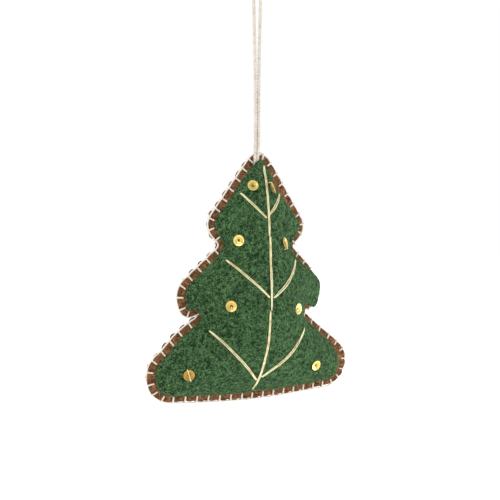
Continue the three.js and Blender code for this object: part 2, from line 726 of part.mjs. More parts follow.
// The stem's three stitches and the branches' six.
function embroidery() {
  const group = new THREE.Group();
  const stemTop = -BORDER_WIDTH - STEM_MARGIN;
  const stemFoot = base.y + BORDER_WIDTH + STEM_FOOT_MARGIN;
  const upperKnot = topNotch.y + UPPER_KNOT_RISE;
  const lowerKnot = middleNotch.y - LOWER_KNOT_DROP;
  const stem = [
    ['upper', stemTop, upperKnot + KNOT_GAP / 2],
    ['middle', upperKnot - KNOT_GAP / 2, lowerKnot + KNOT_GAP / 2],
    ['lower', lowerKnot - KNOT_GAP / 2, stemFoot],
  ];
  const stemX = (z) => {
    const above = Math.max(z - upperKnot, 0) / (stemTop - upperKnot);
    const below = Math.max(lowerKnot - z, 0) / (lowerKnot - stemFoot);
    return STEM_TOP_SHIFT * above - STEM_FOOT_SHIFT * below;
  };
  for (const [name, from, to] of stem) {
    const stitch = goldStitch(new THREE.Vector2(stemX(from), from), new THREE.Vector2(stemX(to), to));
    group.add(piece(`stem_stitch_${name}`, stitch, GOLD_THREAD));
  }
  const branches = [
    {
      name: 'upper',
      top: stemTop - UPPER_BRANCH_DROP,
      fall: UPPER_BRANCH_FALL,
      margin: UPPER_BRANCH_MARGIN,
      shift: UPPER_BRANCH_SHIFT,
    },
    {
      name: 'middle',
      top: topNotch.y - MIDDLE_BRANCH_DROP,
      fall: MIDDLE_BRANCH_FALL,
      margin: MIDDLE_BRANCH_MARGIN,
      shift: MIDDLE_BRANCH_SHIFT,
    },
    {
      name: 'lower',
      top: middleNotch.y - LOWER_BRANCH_DROP,
      fall: LOWER_BRANCH_FALL,
      margin: LOWER_BRANCH_MARGIN,
      shift: LOWER_BRANCH_SHIFT,
    },
  ];
  for (const { name, top, fall, margin, shift } of branches) {
    for (const [side, sign] of [['left', -1], ['right', 1]]) {
      const outer = new THREE.Vector2(sign * (panelHalfWidth(top) - margin) - shift, top);
      const foot = top - fall;
      const inner = new THREE.Vector2(stemX(foot) + sign * (2 * GOLD_STRAND + CLEARANCE), foot);
      group.add(piece(`branch_stitch_${name}_${side}`, goldStitch(outer, inner), GOLD_THREAD));
    }
  }
  return group;
}

// Four pairs of sequins, each seated on the panel and held by its stitch.
function sequins() {
  const group = new THREE.Group();
  const rows = [
    [-BORDER_WIDTH - SEQUIN_1_DROP, SEQUIN_1_MARGIN, SEQUIN_1_SHIFT],
    [topNotch.y + SEQUIN_2_RISE, SEQUIN_2_MARGIN, SEQUIN_2_SHIFT],
    [middleNotch.y + SEQUIN_3_RISE, SEQUIN_3_MARGIN, SEQUIN_3_SHIFT],
    [baseHem.y + SEQUIN_4_RISE, SEQUIN_4_MARGIN, SEQUIN_4_SHIFT],
  ];
  rows.forEach(([z, margin, shift], row) => {
    for (const [side, sign] of [['left', -1], ['right', 1]]) {
      const x = sign * (panelHalfWidth(z) - margin) - shift;
      const { point, normal } = face.at(new THREE.Vector2(x, z));
      const up = new THREE.Vector3(0, 0, 1).addScaledVector(normal, -normal.z).normalize();
      const seat = new THREE.Group();
      seat.position.copy(point).addScaledVector(normal, CLEARANCE);
      seat.setRotationFromMatrix(new THREE.Matrix4().makeBasis(normal.clone().cross(up), normal, up));
      const stitch = piece(`sequin_stitch_${row + 1}_${side}`, sequinStitch(), GOLD_THREAD);
      stitch.rotation.y = SEQUIN_STITCH_TURN * (row + 1) * sign;
      seat.add(piece(`sequin_${row + 1}_${side}`, sequin(), GOLD_SEQUIN), stitch);
      group.add(seat);
    }
  });
  return group;
}

const radius = CORD_DIAMETER / 2;
const pairRadius = (STRAND_SPACING + CORD_DIAMETER) / 2;
const cordDepth = borderFace + BORDER_RISE + CLEARANCE + radius;

const tailDrop = NOD_RISE + BORDER_WIDTH - CLEARANCE;
const tail = piece('loop_tail', cordEnd(radius, tailDrop, 2 * pairRadius), CREAM_CORD);
tail.rotation.z = Math.PI / 2;
tail.position.set(-LOOP_OFFSET, -cordDepth, NOD_RISE);

// The tree hangs from a point beside its centre line, so it leans until its weight is under that point.
const tree = new THREE.Group();
tree.add(stuffedTree(), embroidery(), sequins(), tail);
tree.position.set(LOOP_OFFSET, cordDepth, -SWING_RISE);
const leaning = new THREE.Group();
leaning.add(tree);
leaning.position.z = swingZ;
leaning.rotation.y = Math.atan2(LOOP_OFFSET, BALANCE_DROP + SWING_RISE);

const footZ = swingZ + pairRadius + CLEARANCE;
const foot = piece('loop_foot', cordPair(twistZ - CLEARANCE / 2 - footZ), CREAM_CORD);
foot.position.z = footZ;
const neckDrop = SWING_RISE - NOD_RISE - radius - CLEARANCE;
const neck = piece('loop_neck', cordEnd(pairRadius, neckDrop, CORD_DIAMETER), CREAM_CORD);
neck.position.z = swingZ;

const ornament = new THREE.Group();
ornament.add(piece('hanging_loop', loopTube(), CREAM_CORD), foot, neck, leaning);

export default ornament;
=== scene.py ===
"""A stuffed felt christmas tree ornament on a cotton loop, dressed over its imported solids.

Sizes are millimetres in the tree's own frame: X to its right, Y away from its face, Z up, with the seam's
tip at the origin. A piece is made there, or copied from its solid, and ends up in the row's frame in metres.
"""

from __future__ import annotations

import json
import logging
import math
from dataclasses import dataclass, field
from enum import Enum

import bpy
import numpy as np
from mathutils import Matrix, Vector, noise
from mathutils.bvhtree import BVHTree

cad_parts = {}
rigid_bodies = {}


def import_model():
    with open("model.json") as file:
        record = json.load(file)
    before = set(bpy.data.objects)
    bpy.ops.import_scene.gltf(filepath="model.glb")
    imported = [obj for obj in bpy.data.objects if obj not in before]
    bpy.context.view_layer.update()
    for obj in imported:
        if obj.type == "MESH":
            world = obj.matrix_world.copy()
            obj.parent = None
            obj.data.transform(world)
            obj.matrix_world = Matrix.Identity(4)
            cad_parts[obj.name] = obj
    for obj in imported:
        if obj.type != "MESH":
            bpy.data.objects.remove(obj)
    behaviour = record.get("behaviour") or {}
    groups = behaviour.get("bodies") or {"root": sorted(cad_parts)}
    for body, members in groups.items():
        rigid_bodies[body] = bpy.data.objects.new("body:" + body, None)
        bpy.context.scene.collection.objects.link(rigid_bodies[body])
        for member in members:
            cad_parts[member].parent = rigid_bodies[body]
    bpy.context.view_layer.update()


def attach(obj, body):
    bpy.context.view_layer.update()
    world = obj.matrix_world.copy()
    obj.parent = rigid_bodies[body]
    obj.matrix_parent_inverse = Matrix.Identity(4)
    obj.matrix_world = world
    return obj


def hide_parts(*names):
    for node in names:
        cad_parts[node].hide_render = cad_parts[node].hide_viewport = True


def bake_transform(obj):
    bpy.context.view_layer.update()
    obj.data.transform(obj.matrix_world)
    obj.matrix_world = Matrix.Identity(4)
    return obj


LOG = logging.getLogger("felt_tree")
MM = 0.001
CM2_PER_M2 = 1e4
SPLINE_STEPS = 24
SRGB_FULL = 255
SRGB_STRAIGHT_END = 0.04045
SRGB_SLOPE = 12.92
SRGB_OFFSET = 0.055
SRGB_POWER = 2.4
WHITE = (1.0, 1.0, 1.0, 1.0)
Colour = tuple[int, int, int]
Point = tuple[float, float, float]


class Body(str, Enum):
    """The bodies that pieces ride on."""

    LOOP = "loop"
    FOOT = "loop_foot"
    NECK = "loop_neck"
    TREE = "tree"


class Side(Enum):
    """The tree's two faces, as the sign of their depth."""

    FRONT = -1
    BACK = 1


class Slot(str, Enum):
    """The record's material slots."""

    GREEN = "green_felt"
    BROWN = "brown_felt"
    FILL = "white_fill"
    COTTON = "white_cotton"
    CORD = "cream_cord"
    GOLD = "gold_thread"
    SEQUIN = "gold_sequin"


def linear(colour: Colour) -> tuple[float, float, float, float]:
    """Turns a screen colour into the linear colour that shaders take.

    Args:
        colour: Red, green and blue from 0 to 255.

    Returns:
        Linear red, green, blue and an alpha of 1.
    """
    shares = [c / SRGB_FULL for c in colour]
    curved = [((s + SRGB_OFFSET) / (1 + SRGB_OFFSET)) ** SRGB_POWER for s in shares]
    return (*[s / SRGB_SLOPE if s <= SRGB_STRAIGHT_END else c for s, c in zip(shares, curved)], 1.0)


def smooth_step(values: np.ndarray) -> np.ndarray:
    """Eases values from 0 to 1 and holds them there."""
    held = np.clip(values, 0.0, 1.0)
    return held * held * (3 - 2 * held)


def bell(apart: np.ndarray, reach: float) -> np.ndarray:
    """Falls off smoothly with distance: 1 at none, and nearly 0 at twice the reach."""
    return np.exp(-((apart / reach) ** 2))


def near_edge(inset: np.ndarray, gone: float, ease: float) -> np.ndarray:
    """How near insets are to the felt's edge: 0 from a given inset on, and easing to 1 further out."""
    return smooth_step((gone - inset) / ease)


def past_edge(inset: np.ndarray, start: float, ease: float) -> np.ndarray:
    """How far insets are from the felt's edge: 0 up to a given inset, and easing to 1 further in."""
    return smooth_step((inset - start) / ease)


def linked(name: str, data: bpy.types.ID) -> bpy.types.Object:
    """Adds an object to the scene.

    Args:
        name: The object's name.
        data: Its mesh, curve, camera or light.

    Returns:
        The object, at the origin.
    """
    piece = bpy.data.objects.new(name, data)
    bpy.context.scene.collection.objects.link(piece)
    return piece


def activate(piece: bpy.types.Object) -> None:
    """Leaves one object selected and active, in object mode.

    Args:
        piece: The object.
    """
    if bpy.context.object and bpy.context.object.mode != "OBJECT":
        bpy.ops.object.mode_set(mode="OBJECT")
    bpy.ops.object.select_all(action="DESELECT")
    piece.select_set(True)
    bpy.context.view_layer.objects.active = piece


def apply_modifiers(piece: bpy.types.Object) -> None:
    """Applies a piece's modifiers in order.

    Args:
        piece: A mesh object.
    """
    activate(piece)
    for name in [modifier.name for modifier in piece.modifiers]:
        bpy.ops.object.modifier_apply(modifier=name)


def set_mask(piece: bpy.types.Object, name: str, values: np.ndarray) -> None:
    """Keeps a named value for each of a mesh's points."""
    mask = piece.data.attributes.new(name, "FLOAT", "POINT")
    mask.data.foreach_set("value", values.astype(np.float32))


def coordinates(piece: bpy.types.Object) -> np.ndarray:
    """Reads a mesh's points.

    Args:
        piece: A mesh object.

    Returns:
        One row of X, Y and Z for each point.
    """
    flat = np.empty(len(piece.data.vertices) * 3)
    piece.data.vertices.foreach_get("co", flat)
    return flat.reshape(-1, 3)


def set_coordinates(piece: bpy.types.Object, points: np.ndarray) -> None:
    """Writes a mesh's points back."""
    piece.data.vertices.foreach_set("co", points.ravel())
    piece.data.update()


def lumps(points: np.ndarray, size: float, seed: float) -> np.ndarray:
    """Smooth random values over space.

    Args:
        points: Points in millimetres.
        size: The lumps' size in millimetres.
        seed: A shift that picks other lumps.

    Returns:
        A value from about -1 to 1 for each point.
    """
    return np.array([noise.noise(Vector(p) / size + Vector((seed, seed, seed))) for p in points])


def spline(points: list[Point], step: float) -> list[Vector]:
    """Runs a smooth line through points.

    Args:
        points: The points to pass through.
        step: The spacing of the line's own points.

    Returns:
        Points along the line, from the first point to the last.
    """
    knots = np.array(points, float)
    padded = np.vstack([2 * knots[0] - knots[1], knots, 2 * knots[-1] - knots[-2]])
    dense = []
    for i in range(len(knots) - 1):
        a, b, c, d = padded[i : i + 4]
        for t in np.linspace(0, 1, SPLINE_STEPS, endpoint=False):
            bend = (2 * a - 5 * b + 4 * c - d) * t**2
            dense.append(0.5 * (2 * b + (c - a) * t + bend + (3 * b - a - 3 * c + d) * t**3))
    dense = np.vstack([*dense, knots[-1]])
    gaps = np.linalg.norm(np.diff(dense, axis=0), axis=1)
    along = np.concatenate([[0.0], np.cumsum(gaps)])
    places = np.linspace(0, along[-1], max(2, math.ceil(along[-1] / step) + 1))
    return [Vector(p) for p in np.stack([np.interp(places, along, dense[:, k]) for k in range(3)], axis=1)]


class NodeGraph:
    """Adds linked nodes to a node tree."""

    def __init__(self, tree: bpy.types.NodeTree) -> None:
        """Takes up a node tree."""
        self.tree = tree

    def put(self, socket: bpy.types.NodeSocket, value: object) -> None:
        """Links a socket to another, or sets its value.

        Args:
            socket: The input socket.
            value: An output socket, or a plain value.
        """
        if isinstance(value, bpy.types.NodeSocket):
            self.tree.links.new(value, socket)
        else:
            socket.default_value = value

    def add(self, kind: str, inputs: dict[str | int, object], **settings: object) -> bpy.types.Node:
        """Adds a node.

        Args:
            kind: The node's type.
            inputs: Values or sockets by input name or number.
            **settings: The node's own settings.

        Returns:
            The new node.
        """
        node = self.tree.nodes.new(kind)
        for key, value in settings.items():
            setattr(node, key, value)
        for key, value in inputs.items():
            self.put(node.inputs[key], value)
        return node

    def reckon(self, operation: str, *values: object) -> bpy.types.NodeSocket:
        """A math node's result for some values or sockets."""
        return self.add("ShaderNodeMath", dict(enumerate(values)), operation=operation).outputs[0]

    def scaled(self, value: bpy.types.NodeSocket, share: float) -> bpy.types.NodeSocket:
        """A value times a share."""
        return self.reckon("MULTIPLY", value, share)

    def most(self, masks: list[bpy.types.NodeSocket]) -> bpy.types.NodeSocket:
        """The largest of several masks.

        Args:
            masks: The masks, at least one.

        Returns:
            A mask with the largest value at each place.
        """
        first, *rest = masks
        for mask in rest:
            first = self.reckon("MAXIMUM", first, mask)
        return first


class Nodes(NodeGraph):
    """Builds the node tree of one material."""

    noise_roughness: float = 0.6
    fibre_curl: float = 0.9
    fibre_middle: float = 0.5
    fibre_core: float = 0.3
    fibre_shown: tuple[float, float] = (0.42, 0.58)
    angles_apart: float = 100.0

    def __init__(self, name: str) -> None:
        """Starts a material with a principled shader.

        Args:
            name: The material's name.
        """
        self.material = bpy.data.materials.new(name)
        self.material.use_nodes = True
        super().__init__(self.material.node_tree)
        self.shader = self.tree.nodes["Principled BSDF"]
        self.coordinates = self.tree.nodes.new("ShaderNodeTexCoord").outputs["Object"]

    def set(self, **values: object) -> None:
        """Sets the shader's sockets, named with underscores for spaces."""
        for key, value in values.items():
            self.put(self.shader.inputs[key.replace("_", " ")], value)

    def attribute(self, name: str) -> bpy.types.NodeSocket:
        """A value that the mesh keeps for each point."""
        return self.add("ShaderNodeAttribute", {}, attribute_name=name).outputs["Fac"]

    def cloud(self, size: float, detail: float, seed: float) -> bpy.types.NodeSocket:
        """Soft noise.

        Args:
            size: The size of its lumps in millimetres.
            detail: How many finer layers it has.
            seed: A shift that picks other lumps.

        Returns:
            Values from 0 to 1, mostly near the middle.
        """
        shifted = self.add("ShaderNodeMapping", {"Vector": self.coordinates, "Location": (seed, seed, seed)})
        inputs = {"Vector": shifted.outputs[0], "Scale": 1 / (size * MM), "Detail": detail}
        return self.add("ShaderNodeTexNoise", inputs | {"Roughness": self.noise_roughness}).outputs[0]

    def fibres(self, angle: float, gap: float, length: float, share: float) -> bpy.types.NodeSocket:
        """Short curled fibres that lie mostly one way across the tree's face.

        Args:
            angle: The fibres' lean from upright in degrees.
            gap: The space between them in millimetres.
            length: How far one runs before it curls away, in millimetres.
            share: How much of the felt they cover, from 0 to about 0.3.

        Returns:
            A mask from 0 to 1.
        """
        turned = self.add(
            "ShaderNodeMapping",
            {
                "Vector": self.coordinates,
                "Location": (angle * MM, 0, 0),
                "Rotation": (0, math.radians(angle), 0),
                "Scale": (gap * MM, gap * MM, length * MM),
            },
            vector_type="TEXTURE",
        )
        inputs = {"Vector": turned.outputs[0], "Scale": 1.0, "Detail": 1.0, "Distortion": self.fibre_curl}
        grain = self.add("ShaderNodeTexNoise", inputs).outputs[0]
        apart = self.reckon("ABSOLUTE", self.reckon("SUBTRACT", grain, self.fibre_middle))
        patches = self.cloud(size=length / 2, detail=1.0, seed=angle / self.angles_apart)
        lines = self.band(apart, share, self.fibre_core * share)
        return self.reckon("MULTIPLY", lines, self.band(patches, *self.fibre_shown))

    def band(self, value: bpy.types.NodeSocket, low: float, high: float) -> bpy.types.NodeSocket:
        """Stretches the values between low and high to run from 0 to 1."""
        inputs = {"Value": value, "From Min": low, "From Max": high}
        return self.add("ShaderNodeMapRange", inputs).outputs[0]

    def ranged(self, value: bpy.types.NodeSocket, low: float, high: float) -> bpy.types.NodeSocket:
        """Stretches values from 0 to 1 to run from low to high."""
        return self.add("ShaderNodeMapRange", {"Value": value, "To Min": low, "To Max": high}).outputs[0]

    def blend(self, factor: object, below: object, above: object) -> bpy.types.NodeSocket:
        """Mixes two colours by a mask.

        Args:
            factor: The mask, or one share for all places.
            below: The colour where the mask is 0.
            above: The colour where it is 1.

        Returns:
            The mixed colour.
        """
        node = self.add("ShaderNodeMix", {}, data_type="RGBA")
        for name, value in (("Factor", factor), ("A", below), ("B", above)):
            self.put(node.inputs[name], value)
        return node.outputs["Result"]

    def bump(self, height: bpy.types.NodeSocket, depth: float, strength: float) -> None:
        """Raises the surface by a height mask.

        Args:
            height: The mask.
            depth: The full height in millimetres.
            strength: How much of it shows.
        """
        inputs = {"Height": height, "Distance": depth * MM, "Strength": strength}
        self.put(self.shader.inputs["Normal"], self.add("ShaderNodeBump", inputs).outputs[0])


@dataclass(frozen=True)
class Blotches:
    """Soft blotches of another tone: their size in millimetres, detail and seed, and how they are masked.

    The noise behind them is bare up to low and a full blotch from high, and a full blotch shows by its share.
    """

    size: float
    detail: float
    seed: float
    low: float
    high: float
    share: float

    def mask(self, nodes: Nodes) -> bpy.types.NodeSocket:
        """The blotches' mask in a material, from 0 to their share."""
        cloud = nodes.cloud(self.size, self.detail, self.seed)
        return nodes.scaled(nodes.band(cloud, self.low, self.high), self.share)


@dataclass(frozen=True)
class FeltFinish:
    """Heathered wool felt: a body colour with darker patches, and dark and pale fibres that lie every way."""

    name: str
    dark: Colour
    body: Colour
    pale: Colour
    fibre_gap: float = 1.2
    fibre_length: float = 3.8
    pale_share: float = 1.0
    pale_cover: float = 0.05
    pale_angles: tuple[float, ...] = (12, 57, 101, 148)
    dark_share: float = 0.9
    dark_cover: float = 0.06
    dark_angles: tuple[float, ...] = (35, 80, 125)
    patches: Blotches = Blotches(size=5.0, detail=4.0, seed=0.3, low=0.35, high=0.7, share=0.42)
    heather: Blotches = Blotches(size=1.1, detail=2.0, seed=0.9, low=0.5, high=0.7, share=0.25)
    grain: Blotches = Blotches(size=0.36, detail=2.0, seed=0.15, low=0.45, high=0.62, share=0.6)

    def fibres(self, nodes: Nodes, angles: tuple[float, ...], cover: float) -> bpy.types.NodeSocket:
        """A mask of the fibres that lie at some angles."""
        return nodes.most([nodes.fibres(a, self.fibre_gap, self.fibre_length, cover) for a in angles])

    def material(self) -> bpy.types.Material:
        """Makes the felt's material.

        Returns:
            The material.
        """
        nodes = Nodes(self.name)
        dark, pale = linear(self.dark), linear(self.pale)
        pale_fibres = self.fibres(nodes, self.pale_angles, self.pale_cover)
        dark_fibres = self.fibres(nodes, self.dark_angles, self.dark_cover)
        layers = (
            (self.patches.mask(nodes), dark),
            (self.heather.mask(nodes), dark),
            (nodes.scaled(dark_fibres, self.dark_share), dark),
            (nodes.scaled(pale_fibres, self.pale_share), pale),
            (self.grain.mask(nodes), dark),
        )
        colour = linear(self.body)
        for mask, tone in layers:
            colour = nodes.blend(mask, colour, tone)
        nodes.set(Base_Color=colour, Roughness=0.96, Sheen_Weight=0.08, Sheen_Roughness=0.5)
        nodes.set(Specular_IOR_Level=0.15, Sheen_Tint=pale)
        nap = nodes.reckon("ADD", pale_fibres, nodes.cloud(size=0.5, detail=3.0, seed=0.7))
        nodes.bump(nap, depth=0.22, strength=0.6)
        return nodes.material


@dataclass(frozen=True)
class FibreFinish:
    """Loose wool fibres, each with a tone of its own between two colours."""

    name: str
    dark: Colour
    pale: Colour

    def material(self) -> bpy.types.Material:
        """Makes the fibres' material.

        Returns:
            The material.
        """
        nodes = Nodes(self.name)
        colour = nodes.blend(nodes.attribute("tone"), linear(self.dark), linear(self.pale))
        nodes.set(Base_Color=colour, Roughness=0.95, Specular_IOR_Level=0.1)
        return nodes.material


@dataclass(frozen=True)
class CottonFinish:
    """Spun cotton: a pale yarn with darker slubs and a matt surface."""

    name: str
    body: Colour
    shade: Colour
    slub: float

    def material(self) -> bpy.types.Material:
        """Makes the cotton's material.

        Returns:
            The material.
        """
        nodes = Nodes(self.name)
        slubs = Blotches(size=self.slub, detail=3.0, seed=0.2, low=0.45, high=0.75, share=0.7)
        colour = nodes.blend(slubs.mask(nodes), linear(self.body), linear(self.shade))
        nodes.set(Base_Color=colour, Roughness=0.9, Specular_IOR_Level=0.2, Sheen_Weight=0.3)
        nodes.bump(nodes.cloud(size=0.16, detail=4.0, seed=0.5), depth=0.06, strength=0.5)
        return nodes.material


@dataclass(frozen=True)
class GoldThreadFinish:
    """Metallic thread: gold foil wound on a core, brighter and redder from place to place."""

    name: str
    body: Colour
    warm: Colour
    redder: Blotches = Blotches(size=3.0, detail=3.0, seed=0.1, low=0.48, high=0.75, share=0.8)

    def material(self) -> bpy.types.Material:
        """Makes the thread's material.

        Returns:
            The material.
        """
        nodes = Nodes(self.name)
        colour = nodes.blend(self.redder.mask(nodes), linear(self.body), linear(self.warm))
        glints = nodes.cloud(size=0.22, detail=2.0, seed=0.6)
        nodes.set(Base_Color=colour, Metallic=0.6, Specular_IOR_Level=0.6)
        nodes.set(Roughness=nodes.ranged(glints, low=0.22, high=0.5))
        nodes.bump(glints, depth=0.05, strength=0.5)
        return nodes.material


@dataclass(frozen=True)
class SequinFinish:
    """Gold film on a pressed plastic cup, with worn patches, painted shade in the crease at the flat's edge
    and round the hole, and painted shade over whole sequins.
    """

    name: str
    body: Colour
    wear_and_shade_colour: Colour
    worn: Blotches = Blotches(size=1.6, detail=3.0, seed=0.4, low=0.45, high=0.8, share=0.5)
    groove_shade_share: float = 0.75

    def material(self) -> bpy.types.Material:
        """Makes the sequins' material.

        Returns:
            The material.
        """
        nodes = Nodes(self.name)
        wear_and_shade_colour = linear(self.wear_and_shade_colour)
        # Painted shade: the ring mask darkens the crease at the flat's edge and the hole's rim, and the shade
        # mask darkens whole sequins.
        rings = nodes.scaled(nodes.attribute("ring"), self.groove_shade_share)
        colour = nodes.blend(self.worn.mask(nodes), linear(self.body), wear_and_shade_colour)
        colour = nodes.blend(nodes.most([rings, nodes.attribute("shade")]), colour, wear_and_shade_colour)
        scuffs = nodes.cloud(size=0.4, detail=2.0, seed=0.9)
        nodes.set(Base_Color=colour, Metallic=0.85, Specular_IOR_Level=0.6)
        nodes.set(Roughness=nodes.ranged(scuffs, low=0.16, high=0.4))
        nodes.bump(scuffs, depth=0.03, strength=0.3)
        return nodes.material


@dataclass(frozen=True)
class FillFinish:
    """Loose white fibre fill."""

    name: str
    body: Colour
    shade: Colour

    def material(self) -> bpy.types.Material:
        """Makes the fill's material.

        Returns:
            The material.
        """
        nodes = Nodes(self.name)
        wisps = nodes.cloud(size=1.2, detail=5.0, seed=0.3)
        nodes.set(Base_Color=nodes.blend(wisps, linear(self.shade), linear(self.body)), Roughness=1.0)
        nodes.bump(wisps, depth=0.5, strength=0.8)
        return nodes.material


@dataclass(frozen=True)
class SeamLine:
    """The line that the brown layers are sewn along: the corners of one half, with their drops and radii."""

    tip_radius: float = 7.2
    top_notch: float = 19.4
    top_overhang: float = 8.1
    top_drop: float = 39.4
    top_radius: float = 8.0
    top_notch_drop: float = 8.9
    middle_notch: float = 25.0
    middle_overhang: float = 11.7
    middle_flare: float = 5.4
    middle_drop: float = 20.3
    middle_radius: float = 10.0
    middle_hem_drop: float = 13.7
    middle_hem_radius: float = 7.0
    middle_undercut: float = 6.0
    base_hem: float = 49.7
    base_flare: float = 3.9
    base_drop: float = 24.1
    base_radius: float = 10.8
    base_hem_drop: float = 17.5
    base_hem_radius: float = 11.0
    base_sag: float = 3.2
    foot_radius: float = 300.0
    notch_radius: float = 0.8
    straight_share: float = 0.048

    def corners(self) -> list[Point]:
        """Works out the seam's corners.

        Returns:
            Each corner's X, Z and radius, from the tip down the left side and round.
        """
        top = self.top_notch + self.top_overhang
        hem = self.middle_notch + self.middle_overhang
        half = [
            (top, self.top_drop, self.top_radius),
            (self.top_notch, self.top_notch_drop, self.notch_radius),
            (hem + self.middle_flare, self.middle_drop, self.middle_radius),
            (hem, self.middle_hem_drop, self.middle_hem_radius),
            (self.middle_notch, -self.middle_undercut, self.notch_radius),
            (self.base_hem + self.base_flare, self.base_drop, self.base_radius),
            (self.base_hem, self.base_hem_drop, self.base_hem_radius),
        ]
        z = self.tip_radius / math.sin(math.atan2(top, self.top_drop)) - self.tip_radius
        tip = (0.0, z, self.tip_radius)
        left = []
        for half_width, drop, radius in half:
            z -= drop
            left.append((-half_width, z, radius))
        right = [(-x, height, radius) for x, height, radius in reversed(left)]
        return [tip, *left, (0.0, z - self.base_sag, self.foot_radius), *right]

    def lobe(self) -> tuple[float, float]:
        """The middle of the right middle tier's lobe."""
        tier, hem = self.corners()[3:5]
        return (-(tier[0] + hem[0]) / 2, (tier[1] + hem[1]) / 2)

    def notches(self) -> np.ndarray:
        """The four notches between the tiers, as X and Z."""
        return np.array([corner[:2] for corner in self.corners() if corner[2] == self.notch_radius])

    def arc(self, before: Point, corner: Point, after: Point) -> dict[str, object]:
        """Finds the arc that rounds a corner.

        Args:
            before: The corner before it.
            corner: The corner.
            after: The corner after it.

        Returns:
            The arc's centre, radius, start angle, sweep and whether it is convex.
        """
        at = np.array(corner[:2])
        back, on = np.array(before[:2]) - at, np.array(after[:2]) - at
        room = min(np.linalg.norm(back), np.linalg.norm(on)) * (1 - self.straight_share) / 2
        back, on = back / np.linalg.norm(back), on / np.linalg.norm(on)
        half = math.acos(float(back @ on)) / 2
        reach = min(corner[2] / math.tan(half), room)
        radius = reach * math.tan(half)
        middle = (back + on) / np.linalg.norm(back + on)
        centre = at + middle * radius / math.sin(half)
        start = at + back * reach - centre
        convex = back[0] * on[1] - back[1] * on[0] < 0
        sweep = (1 if convex else -1) * (math.pi - 2 * half)
        angle = math.atan2(start[1], start[0])
        return {"centre": centre, "radius": radius, "start": angle, "sweep": sweep, "convex": convex}

    def ring(self, step: float, turn: float) -> np.ndarray:
        """The closed seam line.

        Args:
            step: The longest side in millimetres.
            turn: The largest turn on an arc in degrees.

        Returns:
            One row of X and Z for each point.
        """
        corners = self.corners()
        count = len(corners)
        arcs = [self.arc(corners[i - 1], corners[i], corners[(i + 1) % count]) for i in range(count)]

        def on(arc: dict[str, object], angle: float) -> np.ndarray:
            """A point on an arc at an angle from its start."""
            way = arc["start"] + angle
            return arc["centre"] + arc["radius"] * np.array([math.cos(way), math.sin(way)])

        points = []
        for i, arc in enumerate(arcs):
            sweep = abs(arc["sweep"])
            steps = max(math.ceil(sweep / math.radians(turn)), math.ceil(sweep * arc["radius"] / step))
            points += [on(arc, arc["sweep"] * k / steps) for k in range(steps)]
            start, end = on(arc, arc["sweep"]), on(arcs[(i + 1) % count], 0.0)
            steps = max(1, math.ceil(np.linalg.norm(end - start) / step))
            points += [start + (end - start) * k / steps for k in range(steps)]
        return np.array(points)


